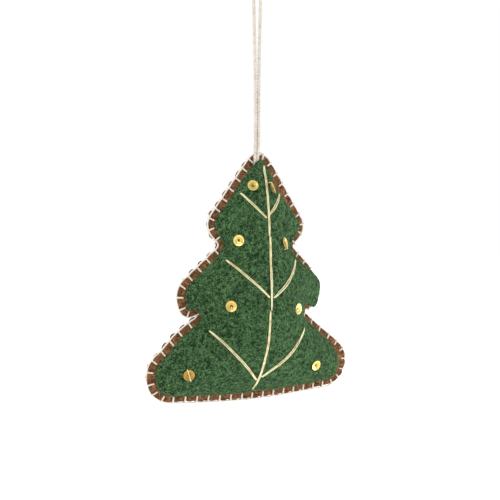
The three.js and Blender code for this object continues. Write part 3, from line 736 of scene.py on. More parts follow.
@dataclass(frozen=True)
class TreePlace:
    """Where the tree hangs: the loop is tucked in beside the tip, so the tree leans a little.

    Its right middle tier hangs back, its left one is sewn short and droops, its left base tier is full and
    closes the notch above it, and its foot is drawn up a little. Pieces are shaped on the flat tree, and
    these moves come with the place.
    """

    lobe: tuple[float, float]
    notch: tuple[float, float]
    swing_z: float = -76.0
    swing_rise: float = 9.0
    loop_offset: float = 2.4
    cord_depth: float = 2.4
    balance_drop: float = 71.5
    setback: float = 6.5
    setback_reach: float = 21.0
    tuck: float = 1.3
    droop: float = 0.5
    tuck_reach: float = 15.0
    foot_lift: float = 1.0
    foot_z: float = -103.0
    foot_reach: float = 9.0
    shoulder: tuple[float, float] = (-36.0, -81.0)
    shoulder_reach: float = 14.0
    shoulder_move: tuple[float, float] = (-0.9, 1.07)
    slit_way: tuple[float, float] = (-0.834, -0.552)
    slit_ease: float = 0.3

    def matrix(self) -> Matrix:
        """Works out how the tree hangs.

        Returns:
            The row's frame from the tree's own, both in millimetres.
        """
        lean = math.atan2(self.loop_offset, self.balance_drop + self.swing_rise)
        hang = Matrix.Translation((0, 0, self.swing_z)) @ Matrix.Rotation(lean, 4, "Y")
        return hang @ Matrix.Translation((self.loop_offset, self.cord_depth, -self.swing_rise))

    def share(self, points: np.ndarray, hand: int, reach: float) -> np.ndarray:
        """How near points are to the lobe at one end of the middle tier.

        Args:
            points: Points in the flat tree's frame.
            hand: 1 for the right lobe, -1 for the left.
            reach: The distance where the share runs out.

        Returns:
            A share for each point, from 1 at the lobe's middle to 0.
        """
        apart = np.hypot(points[:, 0] - hand * self.lobe[0], points[:, 2] - self.lobe[1])
        return (1 - np.minimum(apart / reach, 1.0) ** 2) ** 2

    def lobe_share(self, points: np.ndarray) -> np.ndarray:
        """How much of the setback each point takes, from 0 to 1."""
        return self.share(points, 1, self.setback_reach)

    def shoulder_share(self, points: np.ndarray) -> np.ndarray:
        """How much of the left base tier's fullness each point takes.

        Args:
            points: Points in the flat tree's frame.

        Returns:
            A share for each point, from 1 at the tier's shoulder to 0, and 0 above the notch's slit.
        """
        flat = points[:, [0, 2]]
        apart = np.linalg.norm(flat - self.shoulder, axis=1) / self.shoulder_reach
        way = flat - self.notch
        below = self.slit_way[0] * way[:, 1] - self.slit_way[1] * way[:, 0]
        beside = smooth_step((below + self.slit_ease) / (2 * self.slit_ease))
        return beside * (1 - np.minimum(apart, 1.0) ** 2) ** 2

    def to_row(self, points: np.ndarray) -> np.ndarray:
        """Moves points to where the hanging tree has them.

        Args:
            points: Points in the flat tree's frame, in millimetres.

        Returns:
            The points in the row's frame, in metres.
        """
        place = np.array(self.matrix())
        hung = np.array(points, float)
        short = self.share(hung, -1, self.tuck_reach)
        full = self.shoulder_share(hung)
        drawn_up = self.foot_lift * smooth_step((self.foot_z - hung[:, 2]) / self.foot_reach)
        hung[:, 1] += self.setback * self.lobe_share(hung)
        hung[:, 0] += self.tuck * short + self.shoulder_move[0] * full
        hung[:, 2] += drawn_up - self.droop * short + self.shoulder_move[1] * full
        return (hung @ place[:3, :3].T + place[:3, 3]) * MM

    def to_tree(self, points: np.ndarray) -> np.ndarray:
        """Moves a solid's points to the flat tree.

        Args:
            points: Points in the row's frame, in metres.

        Returns:
            The points in the flat tree's frame, in millimetres.
        """
        place = np.array(self.matrix().inverted())
        flat = (points / MM) @ place[:3, :3].T + place[:3, 3]
        flat[:, 1] -= self.setback * self.lobe_share(flat)
        return flat


class SeamRun:
    """Distances along a closed ring."""

    batch: int = 2000

    def __init__(self, ring: np.ndarray) -> None:
        """Measures the ring.

        Args:
            ring: One row of X and Z for each point, counterclockwise.
        """
        self.ring = ring
        sides = np.roll(ring, -1, axis=0) - ring
        self.ends = np.linalg.norm(sides, axis=1)
        self.starts = np.concatenate([[0.0], np.cumsum(self.ends)[:-1]])
        self.length = float(self.ends.sum())
        facing = np.stack([sides[:, 1], -sides[:, 0]], axis=1) / self.ends[:, None]
        facing = facing + np.roll(facing, 1, axis=0)
        self.outward = facing / np.linalg.norm(facing, axis=1)[:, None]

    def at(self, distance: float) -> tuple[np.ndarray, np.ndarray]:
        """Finds a place on the ring.

        Args:
            distance: How far along the ring it is.

        Returns:
            The place and its outward direction, each as X and Z.
        """
        wrapped = distance % self.length
        i = int(np.searchsorted(self.starts, wrapped, side="right")) - 1
        j = (i + 1) % len(self.ring)
        share = (wrapped - self.starts[i]) / self.ends[i]
        outward = self.outward[i] * (1 - share) + self.outward[j] * share
        return self.ring[i] * (1 - share) + self.ring[j] * share, outward / np.linalg.norm(outward)

    def apart(self, along: np.ndarray, marks: np.ndarray) -> np.ndarray:
        """How far apart distances along the ring are from marks on it, the shorter way round."""
        gap = np.abs(along - marks) % self.length
        return np.minimum(gap, self.length - gap)

    def nearest(self, points: np.ndarray) -> tuple[np.ndarray, np.ndarray, np.ndarray]:
        """Measures points against the ring.

        Args:
            points: One row of X and Z for each point.

        Returns:
            Each point's inset, the distance along the ring beside it, and the outward direction there.
        """
        found = np.concatenate(
            [
                ((chunk[:, None, :] - self.ring[None, :, :]) ** 2).sum(2).argmin(1)
                for chunk in np.array_split(points, max(1, len(points) // self.batch))
            ]
        )
        outward = self.outward[found]
        return ((self.ring[found] - points) * outward).sum(1), self.starts[found], outward


class FeltFace:
    """A felt surface that threads and sequins lie on."""

    view_depth: float = 60.0

    def __init__(self, points: np.ndarray, piece: bpy.types.Object) -> None:
        """Keeps the surface for ray casts.

        Args:
            points: The piece's points in the flat tree's frame.
            piece: The felt piece.
        """
        faces = [tuple(polygon.vertices) for polygon in piece.data.polygons]
        self.tree = BVHTree.FromPolygons([Vector(p) for p in points], faces)

    def at(self, x: float, z: float, side: Side) -> tuple[Vector, Vector] | None:
        """Looks for the surface behind a place.

        Args:
            x: The place's X.
            z: The place's Z.
            side: The face that is looked at.

        Returns:
            The surface's point and normal, or None beside the felt.
        """
        start = Vector((x, side.value * self.view_depth, z))
        place, normal, _, _ = self.tree.ray_cast(start, Vector((0, -side.value, 0)))
        return None if place is None else (place, normal)


@dataclass(frozen=True)
class Thread:
    """A twisted thread or cord: plies laid round each other, with a full turn on each lay's length."""

    diameter: float
    plies: int
    lay: float
    step: float
    groove: float = 0.18
    sides: int = 12

    def profile(self) -> bpy.types.Object:
        """Makes the thread's section, a circle drawn in between its plies.

        Returns:
            The section as a flat curve.
        """
        bpy.ops.object.select_all(action="DESELECT")
        bpy.ops.curve.primitive_nurbs_circle_add(radius=1)
        section = bpy.context.object
        section.data.dimensions = "2D"
        section.data.splines.clear()
        line = section.data.splines.new("POLY")
        line.points.add(self.sides - 1)
        line.use_cyclic_u = True
        for k, point in enumerate(line.points):
            angle = 2 * math.pi * k / self.sides
            reach = self.diameter / 2 * (1 - self.groove + self.groove * math.cos(self.plies * angle))
            point.co = (reach * math.cos(angle), reach * math.sin(angle), 0, 1)
        return section

    def lay_along(self, name: str, runs: list[list[Vector]], closed: bool = False) -> bpy.types.Object:
        """Lays the thread along lines.

        Args:
            name: The piece's name.
            runs: Lines of evenly spaced points in millimetres.
            closed: Whether each line ends where it starts.

        Returns:
            The thread as a mesh, in millimetres.
        """
        section = self.profile()
        curve = bpy.data.curves.new(name, "CURVE")
        curve.dimensions = "3D"
        curve.bevel_mode = "OBJECT"
        curve.bevel_object = section
        curve.use_fill_caps = not closed
        for run in runs:
            line = curve.splines.new("POLY")
            line.points.add(len(run) - 1)
            line.use_cyclic_u = closed
            gap = (run[1] - run[0]).length
            turns = max(1, round(gap * len(run) / self.lay))
            twist = 2 * math.pi * (turns / len(run) if closed else gap / self.lay)
            for k, (point, place) in enumerate(zip(line.points, run)):
                point.co = (*place, 1)
                point.tilt = k * twist
        activate(linked(name, curve))
        bpy.ops.object.convert(target="MESH")
        piece = bpy.context.object
        piece.name = name
        bpy.data.objects.remove(section)
        bpy.ops.object.shade_smooth()
        return piece


@dataclass
class Dresser:
    """Puts finished pieces in their place: material, solids that they stand for and body."""

    place: TreePlace
    made: list[str] = field(default_factory=list)

    def seat(self, piece: bpy.types.Object) -> None:
        """Moves a piece made in the tree's frame into the row's."""
        set_coordinates(piece, self.place.to_row(coordinates(piece)))

    def dress(self, piece: bpy.types.Object, material: bpy.types.Material, slot: Slot, *nodes: str) -> None:
        """Gives a piece its material, and hides the solids that it stands for.

        Args:
            piece: The piece.
            material: Its material.
            slot: Not used.
            *nodes: The solids that it stands for.
        """
        piece.data.materials.clear()
        piece.data.materials.append(material)
        if nodes:
            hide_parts(*nodes)
        self.made.append(piece.name)
        solids = ", ".join(nodes) or "nothing"
        LOG.info("made %s: %d faces, for %s", piece.name, len(piece.data.polygons), solids)

    def dress_on_tree(
        self, piece: bpy.types.Object, material: bpy.types.Material, slot: Slot, *nodes: str
    ) -> None:
        """Dresses a piece that rides on the tree."""
        self.dress(piece, material, slot, *nodes)
        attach(piece, Body.TREE.value)


@dataclass(frozen=True)
class SoftLamp:
    """A square soft lamp: its place and side in millimetres, and its power in watts."""

    name: str
    at: Point
    side: float
    power: float


@dataclass
class Studio:
    """Camera, soft lamps, white surroundings and a pale floor."""

    lens: float = 46.8
    sensor: float = 36.0
    seen_from: float = 10.0
    camera_at: Point = (-142.98, -262.35, -114.29)
    looks_at: Point = (-2.45, 2.25, -129.78)
    floor_z: float = -420.0
    floor_size: float = 8000.0
    floor_tone: float = 0.86
    floor_glow: float = 0.85
    soft_light: float = 0.7
    seen_rays: tuple[str, ...] = ("Is Camera Ray", "Is Glossy Ray", "Is Transmission Ray")
    lamps: tuple[SoftLamp, ...] = (
        SoftLamp("key_lamp", (400, -150, -260), side=300, power=1.2),
        SoftLamp("left_lamp", (-560, -260, 60), side=420, power=1.5),
        SoftLamp("back_lamp", (-150, 520, 200), side=420, power=1.5),
    )

    def aim(self, stand: bpy.types.Object, at: Point) -> None:
        """Puts a camera or a lamp in its place, facing the tree."""
        stand.location = Vector(at) * MM
        stand.rotation_euler = (Vector(self.looks_at) - Vector(at)).to_track_quat("-Z", "Y").to_euler()

    def camera(self) -> None:
        """Adds the camera at the photograph's angle."""
        data = bpy.data.cameras.new("camera")
        data.lens = self.lens
        data.sensor_width = self.sensor
        data.clip_start = self.seen_from * MM
        camera = linked("camera", data)
        self.aim(camera, self.camera_at)
        bpy.context.scene.camera = camera

    def light(self, lamp: SoftLamp) -> None:
        """Adds a lamp.

        Args:
            lamp: The lamp.
        """
        data = bpy.data.lights.new(lamp.name, "AREA")
        data.size = lamp.side * MM
        data.energy = lamp.power
        self.aim(linked(lamp.name, data), lamp.at)

    def surroundings(self) -> None:
        """Lights the world softly and shows it white to the camera and in gloss."""
        world = bpy.data.worlds.new("white_surroundings")
        bpy.context.scene.world = world
        world.use_nodes = True
        graph = NodeGraph(world.node_tree)
        graph.tree.nodes.clear()
        rays = graph.add("ShaderNodeLightPath", {}).outputs
        seen = graph.most([rays[name] for name in self.seen_rays])
        soft = graph.add("ShaderNodeBackground", {"Color": WHITE, "Strength": self.soft_light}).outputs[0]
        white = graph.add("ShaderNodeBackground", {"Color": WHITE}).outputs[0]
        mix = graph.add("ShaderNodeMixShader", {"Fac": seen, 1: soft, 2: white}).outputs[0]
        graph.add("ShaderNodeOutputWorld", {"Surface": mix})

    def floor(self) -> None:
        """Adds the floor, nearly white to the camera, with the tree's faint shadow."""
        bpy.ops.object.select_all(action="DESELECT")
        bpy.ops.mesh.primitive_plane_add(size=self.floor_size * MM, location=(0, 0, self.floor_z * MM))
        floor = bpy.context.object
        floor.name = "floor"
        nodes = Nodes("white_floor")
        nodes.set(Base_Color=(*[self.floor_tone] * 3, 1), Roughness=0.9, Specular_IOR_Level=0.0)
        rays = nodes.add("ShaderNodeLightPath", {}).outputs
        seen = nodes.most([rays[name] for name in self.seen_rays])
        nodes.set(Emission_Color=WHITE, Emission_Strength=nodes.scaled(seen, self.floor_glow))
        floor.data.materials.append(nodes.material)

    def build(self) -> None:
        """Makes the whole studio."""
        bpy.context.scene.view_settings.view_transform = "Standard"
        self.camera()
        self.surroundings()
        self.floor()
        for lamp in self.lamps:
            self.light(lamp)


@dataclass
class HangingLoop:
    """The cotton loop: two strands that run down from the bend and tuck in at the tip.

    The cord is laid in three stretches: the loop, the neck past the swing and the tails. The strand's rows
    are the right strand's X and Z from below up to the bend. The tail's rows are X from the loop's middle, Y
    and Z in the tree's frame, from above the tip down.
    """

    dresser: Dresser
    cord: Thread = Thread(diameter=1.65, plies=3, lay=4.6, step=0.4, groove=0.14, sides=15)
    finish: CottonFinish = CottonFinish("cream_cotton_cord", (238, 230, 217), (200, 186, 166), slub=2.2)
    spacing: float = 1.6
    untwisted_z: float = -44.0
    twist_z: float = -70.0
    cut_z: float = -72.6
    twist_clear: float = 0.8
    swing_stretch: tuple[float, float] = (-73.4, -78.8)
    neck_cut_z: float = -79.6
    nod_stretch: tuple[float, float] = (-80.6, -84.2)
    tail_top_z: float = -81.4
    strand: tuple[tuple[float, float], ...] = (
        (0.85, -60.0),
        (1.05, -44.0),
        (1.35, -32.0),
        (1.9, -14.0),
        (2.8, -7.0),
        (3.4, -2.6),
        (2.4, -0.2),
        (0.0, 0.75),
    )
    tail: tuple[Point, ...] = (
        (0.78, -2.4, 1.2),
        (0.76, -2.4, -0.6),
        (0.72, -2.35, -2.2),
        (0.6, -2.35, -3.6),
        (0.5, -2.3, -5.0),
        (0.45, -2.1, -6.4),
    )

    def strands(
        self, name: str, runs: list[list[Vector]], material: bpy.types.Material, *nodes: str
    ) -> bpy.types.Object:
        """Lays the cord along lines in the row's frame.

        Args:
            name: The piece's name.
            runs: The strands' lines in millimetres.
            material: The cord's material.
            *nodes: The solids that the piece stands for.

        Returns:
            The piece, in metres.
        """
        piece = self.cord.lay_along(name, runs)
        set_coordinates(piece, coordinates(piece) * MM)
        self.dresser.dress(piece, material, Slot.CORD, *nodes)
        return piece

    def bend(self, piece: bpy.types.Object, above: Body, below: Body, stretch: tuple[float, float]) -> None:
        """Bakes a piece's transform into its mesh.

        Args:
            piece: The piece.
            above: Not used.
            below: Not used.
            stretch: Not used.
        """
        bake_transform(piece)

    def loop(self, material: bpy.types.Material) -> None:
        """Makes the loop above the swing.

        Args:
            material: The cord's material.
        """
        half = self.spacing / 2
        upper = [(x, 0.0, z) for x, z in self.strand]
        right = [(half, 0.0, self.cut_z), (half, 0.0, self.twist_z), *upper]
        left = [(-x, 0.0, z) for x, _, z in reversed(right[:-1])]
        line = spline([*right, *left], self.cord.step)
        piece = self.strands("loop_cord", [line], material, "hanging_loop")
        self.bend(piece, Body.LOOP, Body.FOOT, (self.untwisted_z, self.cut_z + self.twist_clear))

    def neck(self, material: bpy.types.Material) -> None:
        """Makes the stretch that runs past the swing.

        Args:
            material: The cord's material.
        """
        half = self.spacing / 2
        heights = (self.cut_z, self.dresser.place.swing_z, self.neck_cut_z)
        runs = [spline([(s * half, 0, z) for z in heights], self.cord.step) for s in (-1, 1)]
        piece = self.strands("loop_neck_strands", runs, material, "loop_foot", "loop_neck")
        self.bend(piece, Body.FOOT, Body.NECK, self.swing_stretch)

    def tails(self, material: bpy.types.Material) -> None:
        """Makes the stretch that crosses the border and goes under the green felt.

        Args:
            material: The cord's material.
        """
        half = self.spacing / 2
        runs = []
        for sign in (-1, 1):
            ends = np.array([(sign * x - self.dresser.place.loop_offset, y, z) for x, y, z in self.tail])
            below = [tuple(p / MM) for p in self.dresser.place.to_row(ends)]
            above = [(sign * half, 0.0, z) for z in (self.neck_cut_z, self.tail_top_z)]
            runs.append(spline([*above, *below], self.cord.step))
        piece = self.strands("loop_tail_strands", runs, material, "loop_tail")
        self.bend(piece, Body.NECK, Body.TREE, self.nod_stretch)

    def build(self) -> None:
        """Makes the loop from its tucked ends up."""
        material = self.finish.material()
        self.tails(material)
        self.neck(material)
        self.loop(material)


@dataclass
class FeltTree:
    """Green felt on two brown layers sewn round stuffing.

    Waves are rows of a height, a size and a seed. Rim moves are rows of X, Z, a reach and a move outwards,
    and rolled corners are rows of X, Z and a reach.
    """

    dresser: Dresser
    seam: SeamRun
    stitches: np.ndarray
    notches: np.ndarray
    green: FeltFinish = FeltFinish("green_heather_felt", (8, 24, 13), (39, 71, 37), (103, 146, 94))
    brown: FeltFinish = FeltFinish("brown_wool_felt", (58, 34, 21), (123, 80, 49), (182, 130, 87))
    fill: FillFinish = FillFinish("white_fibre_fill", (245, 243, 238), (214, 211, 204))
    pinch_reach: float = 1.3
    pinch_depth: float = 0.45
    puff_height: float = 0.5
    front_bulge: float = 0.1
    back_bulge: float = 0.95
    bulge_vary: float = 0.6
    under_depth: float = 0.15
    under_slope: float = 0.2
    under_from: float = 0.65
    under_run: float = 2.55
    ruffle: float = 0.18
    face_swell: float = 0.45
    border_fuzz: float = 3.4
    fold_back: float = 3.0
    border: float = 3.2
    panel_shift: float = 0.3
    notch_reach: float = 4.5
    notch_fill: float = 1.5
    notch_dip: float = 1.3
    dip_reach: float = 7.0
    lobe_fill: float = 2.0
    lobe_ease: float = 7.0
    rim_lift: float = 0.25
    rim_fuzz: float = 2.0
    rim_calm: float = 0.6
    rim_waves: tuple[Point, ...] = ((0.3, 4.0, 1.0), (0.25, 9.0, 7.0), (0.25, 1.7, 8.0))
    face_waves: tuple[Point, ...] = ((0.3, 10.0, 2.0), (0.12, 3.0, 4.0))
    rim_moves: tuple[tuple[float, float, float, float], ...] = (
        (49.0, -99.0, 12.0, -1.9),
        (-50.0, -100.0, 10.0, -1.0),
        (-42.0, -68.0, 9.0, -1.0),
        (-25.0, -71.0, 6.0, 0.9),
        (31.0, -53.0, 10.0, 1.2),
        (11.0, -13.0, 11.0, -1.5),
    )
    foot_trim: float = 0.3
    foot_top: float = -98.0
    rolled: tuple[Point, ...] = ((-44.0, -68.0, 13.0), (-50.0, -108.0, 10.0), (53.0, -103.0, 11.0))
    roll_bulge: float = 0.5
    stitch_dip: float = 0.45
    stitch_reach: float = 0.8
    cord_lift: float = 1.2
    cord_width: float = 2.4
    cord_end: float = 9.5
    cord_ease: float = 4.5
    down_from: float = 0.8
    down_ease: float = 0.15
    facing_ease: float = 0.5

    def copy_of(self, node: str, name: str, levels: int, crease: float) -> bpy.types.Object:
        """Copies a solid as a smooth soft piece.

        Args:
            node: The solid's node.
            name: The piece's name.
            levels: How often it is subdivided.
            crease: How sharp its cut edges stay, from 0 to 1.

        Returns:
            The piece, in metres, in the row's frame.
        """
        piece = linked(name, bpy.data.objects[node].data.copy())
        activate(piece)
        bpy.ops.mesh.customdata_custom_splitnormals_clear()
        bpy.ops.object.mode_set(mode="EDIT")
        bpy.ops.mesh.select_mode(type="EDGE")
        bpy.ops.mesh.select_all(action="SELECT")
        bpy.ops.mesh.remove_doubles(threshold=1e-6)
        bpy.ops.mesh.tris_convert_to_quads(face_threshold=math.radians(50), shape_threshold=math.radians(60))
        bpy.ops.mesh.select_all(action="DESELECT")
        bpy.ops.mesh.edges_select_sharp(sharpness=math.radians(55))
        bpy.ops.transform.edge_crease(value=crease)
        bpy.ops.object.mode_set(mode="OBJECT")
        surface = piece.modifiers.new("rounded", "SUBSURF")
        surface.levels = surface.render_levels = levels
        apply_modifiers(piece)
        bpy.ops.object.shade_smooth()
        return piece

    def free_of_stitches(self, along: np.ndarray) -> np.ndarray:
        """How free the border is of the stitches."""
        nearest = self.seam.apart(along[:, None], self.stitches[None, :]).min(1)
        return 1 - bell(nearest, self.pinch_reach)

    def rolled_back(self, along: np.ndarray) -> np.ndarray:
        """How far the edge rolls back over the purl at its round corners.

        Args:
            along: Distances along the seam.

        Returns:
            A share for each, from 0 to 1 in the corners' middles.
        """
        shares = np.zeros(len(along))
        for x, z, reach in self.rolled:
            mark = self.seam.nearest(np.array([[x, z]]))[1]
            shares = np.maximum(shares, np.exp(-((self.seam.apart(along, mark) / reach) ** 4)))
        return shares

    def facing_down(self, outward: np.ndarray) -> np.ndarray:
        """How much an edge faces down, from 0 to 1."""
        return smooth_step((-outward[:, 1] - self.down_from) / self.down_ease)

    def waves(self, points: np.ndarray, rows: tuple[Point, ...]) -> np.ndarray:
        """Adds up lumps, each row of them with a height, a size and a seed."""
        return sum(height * lumps(points, size, seed) for height, size, seed in rows)

    def puff(self, points: np.ndarray, side: Side, bulge: float) -> np.ndarray:
        """Draws a brown layer's border in at each stitch and lets it swell between them.

        Args:
            points: The layer's points in the tree's frame.
            side: The face that the layer is on.
            bulge: How far its edge swells past its cut.

        Returns:
            The moved points.
        """
        inset, along, outward = self.seam.nearest(points[:, [0, 2]])
        free = self.free_of_stitches(along)
        swell = bulge * free * (1 + self.bulge_vary * lumps(points, size=9.0, seed=6.0))
        swell += (self.roll_bulge - swell) * self.rolled_back(along)
        moved = points.copy()
        moved[:, [0, 2]] += outward * (swell * near_edge(inset, gone=2.6, ease=1.8))[:, None]
        slope = self.under_slope * np.clip((inset - self.under_from) / self.under_run, 0, 1)
        over = np.clip(side.value * points[:, 1] - self.under_depth - slope, 0, 1)
        over *= near_edge(inset, gone=4.2, ease=1.4)
        moved[:, 1] += side.value * over * (self.puff_height * free - self.pinch_depth * (1 - free))
        ruffle = self.ruffle * lumps(points, size=2.6, seed=3.0) * near_edge(inset, gone=4.5, ease=2.0)
        moved[:, 1] += side.value * ruffle + self.fold(points, inset)
        return moved

    def on_lobe(self, points: np.ndarray) -> np.ndarray:
        """How much of the right middle tier's turn points take.

        Args:
            points: Points in the flat tree's frame.

        Returns:
            A share for each point, from 0 at the tier's notches and past them to 1.
        """
        along = self.seam.nearest(points[:, [0, 2]])[1]
        below, above = self.seam.nearest(self.notches[2:])[1]
        ends = smooth_step((along - below) / self.lobe_ease) * smooth_step((above - along) / self.lobe_ease)
        return ends * np.sqrt(self.dresser.place.lobe_share(points))

    def fold(self, points: np.ndarray, inset: np.ndarray) -> np.ndarray:
        """How far the border is folded back at the lobe, by its inset."""
        free = 1 - np.clip(inset / self.border, 0, 1)
        return self.fold_back * free * self.on_lobe(points)

    def facing_out(self, piece: bpy.types.Object, side: Side) -> np.ndarray:
        """A mask of the points on a layer's shown face."""
        normals = np.array([v.normal for v in piece.data.vertices])
        return smooth_step(side.value * normals[:, 1] / self.facing_ease)

    def brown_layer(
        self, node: str, name: str, side: Side, bulge: float, material: bpy.types.Material
    ) -> FeltFace:
        """Makes one brown layer.

        Args:
            node: The layer's solid.
            name: The piece's name.
            side: The face that it is on.
            bulge: How far its edge swells between stitches.
            material: The brown felt.

        Returns:
            The layer's surface.
        """
        piece = self.copy_of(node, name, levels=3, crease=0.3)
        points = self.dresser.place.to_tree(coordinates(piece))
        shown = self.facing_out(piece, side)
        points = self.puff(points, side, bulge)
        inset = self.seam.nearest(points[:, [0, 2]])[0]
        swell = self.face_swell * past_edge(inset, start=3.0, ease=6.0)
        points[:, 1] += side.value * swell * lumps(points, size=11.0, seed=5.0)
        set_mask(piece, "shown", shown if side is Side.BACK else shown * (inset < self.border_fuzz))
        set_coordinates(piece, self.dresser.place.to_row(points))
        self.dresser.dress_on_tree(piece, material, Slot.BROWN, node)
        return FeltFace(points, piece)

    def dips(self, flat: np.ndarray, lines: list[tuple[np.ndarray, np.ndarray]]) -> np.ndarray:
        """How deep the gold stitches draw the felt in.

        Args:
            flat: One row of X and Z for each point.
            lines: The stitches' ends as X and Z.

        Returns:
            A depth for each point.
        """
        depths = np.zeros(len(flat))
        for start, end in lines:
            run = end - start
            share = np.clip(((flat - start) @ run) / (run @ run), 0, 1)
            apart = np.linalg.norm(flat - start - share[:, None] * run, axis=1)
            depths += self.stitch_dip * bell(apart, self.stitch_reach)
        return depths

    def green_panel(
        self, lines: list[tuple[np.ndarray, np.ndarray]], material: bpy.types.Material
    ) -> FeltFace:
        """Makes the green panel, drawn in under its stitches and lifted where the cord goes under it.

        Args:
            lines: The gold stitches' ends as X and Z.
            material: The green felt.

        Returns:
            The panel's surface.
        """
        piece = self.copy_of("front_tree_panel", "green_panel", levels=3, crease=0.6)
        points = self.dresser.place.to_tree(coordinates(piece))
        shown = self.facing_out(piece, Side.FRONT)
        flat = points[:, [0, 2]]
        inset, _, outward = self.seam.nearest(flat)
        rim = near_edge(inset, gone=8.5, ease=5.0)
        near = np.linalg.norm(flat[:, None, :] - self.notches[None, :, :], axis=2).min(1)
        wave = self.waves(points, self.rim_waves)
        wave += self.notch_fill * bell(near, self.notch_reach)
        for x, z, reach, move in self.rim_moves:
            wave += move * bell(np.linalg.norm(flat - (x, z), axis=1), reach)
        foot = self.facing_down(outward) * (flat[:, 1] < self.foot_top)
        wave += self.lobe_fill * self.on_lobe(points) - self.foot_trim * foot
        points[:, [0, 2]] += outward * (rim * wave)[:, None]
        points[:, 0] -= self.panel_shift * rim
        push = self.waves(points, self.face_waves) - shown * self.dips(flat, lines)
        at_cord = bell(flat[:, 0] + self.dresser.place.loop_offset, self.cord_width)
        at_cord *= smooth_step((flat[:, 1] + self.cord_end) / self.cord_ease)
        points[:, 1] -= push * (1 - self.rim_calm * rim) + self.cord_lift * at_cord + self.rim_lift * rim
        dip = self.notch_dip * bell(near, self.dip_reach)
        points[:, 1] += dip * past_edge(inset, start=3.0, ease=3.0)
        set_mask(piece, "shown", shown * (1 + self.rim_fuzz * near_edge(inset, gone=5.0, ease=1.5)))
        set_coordinates(piece, self.dresser.place.to_row(points))
        self.dresser.dress_on_tree(piece, material, Slot.GREEN, "front_tree_panel")
        return FeltFace(points, piece)

    def stuffing(self) -> None:
        """Makes the fill inside the layers."""
        piece = self.copy_of("stuffing", "fibre_fill", levels=2, crease=0.2)
        set_coordinates(piece, self.dresser.place.to_row(self.dresser.place.to_tree(coordinates(piece))))
        self.dresser.dress_on_tree(piece, self.fill.material(), Slot.FILL, "stuffing")


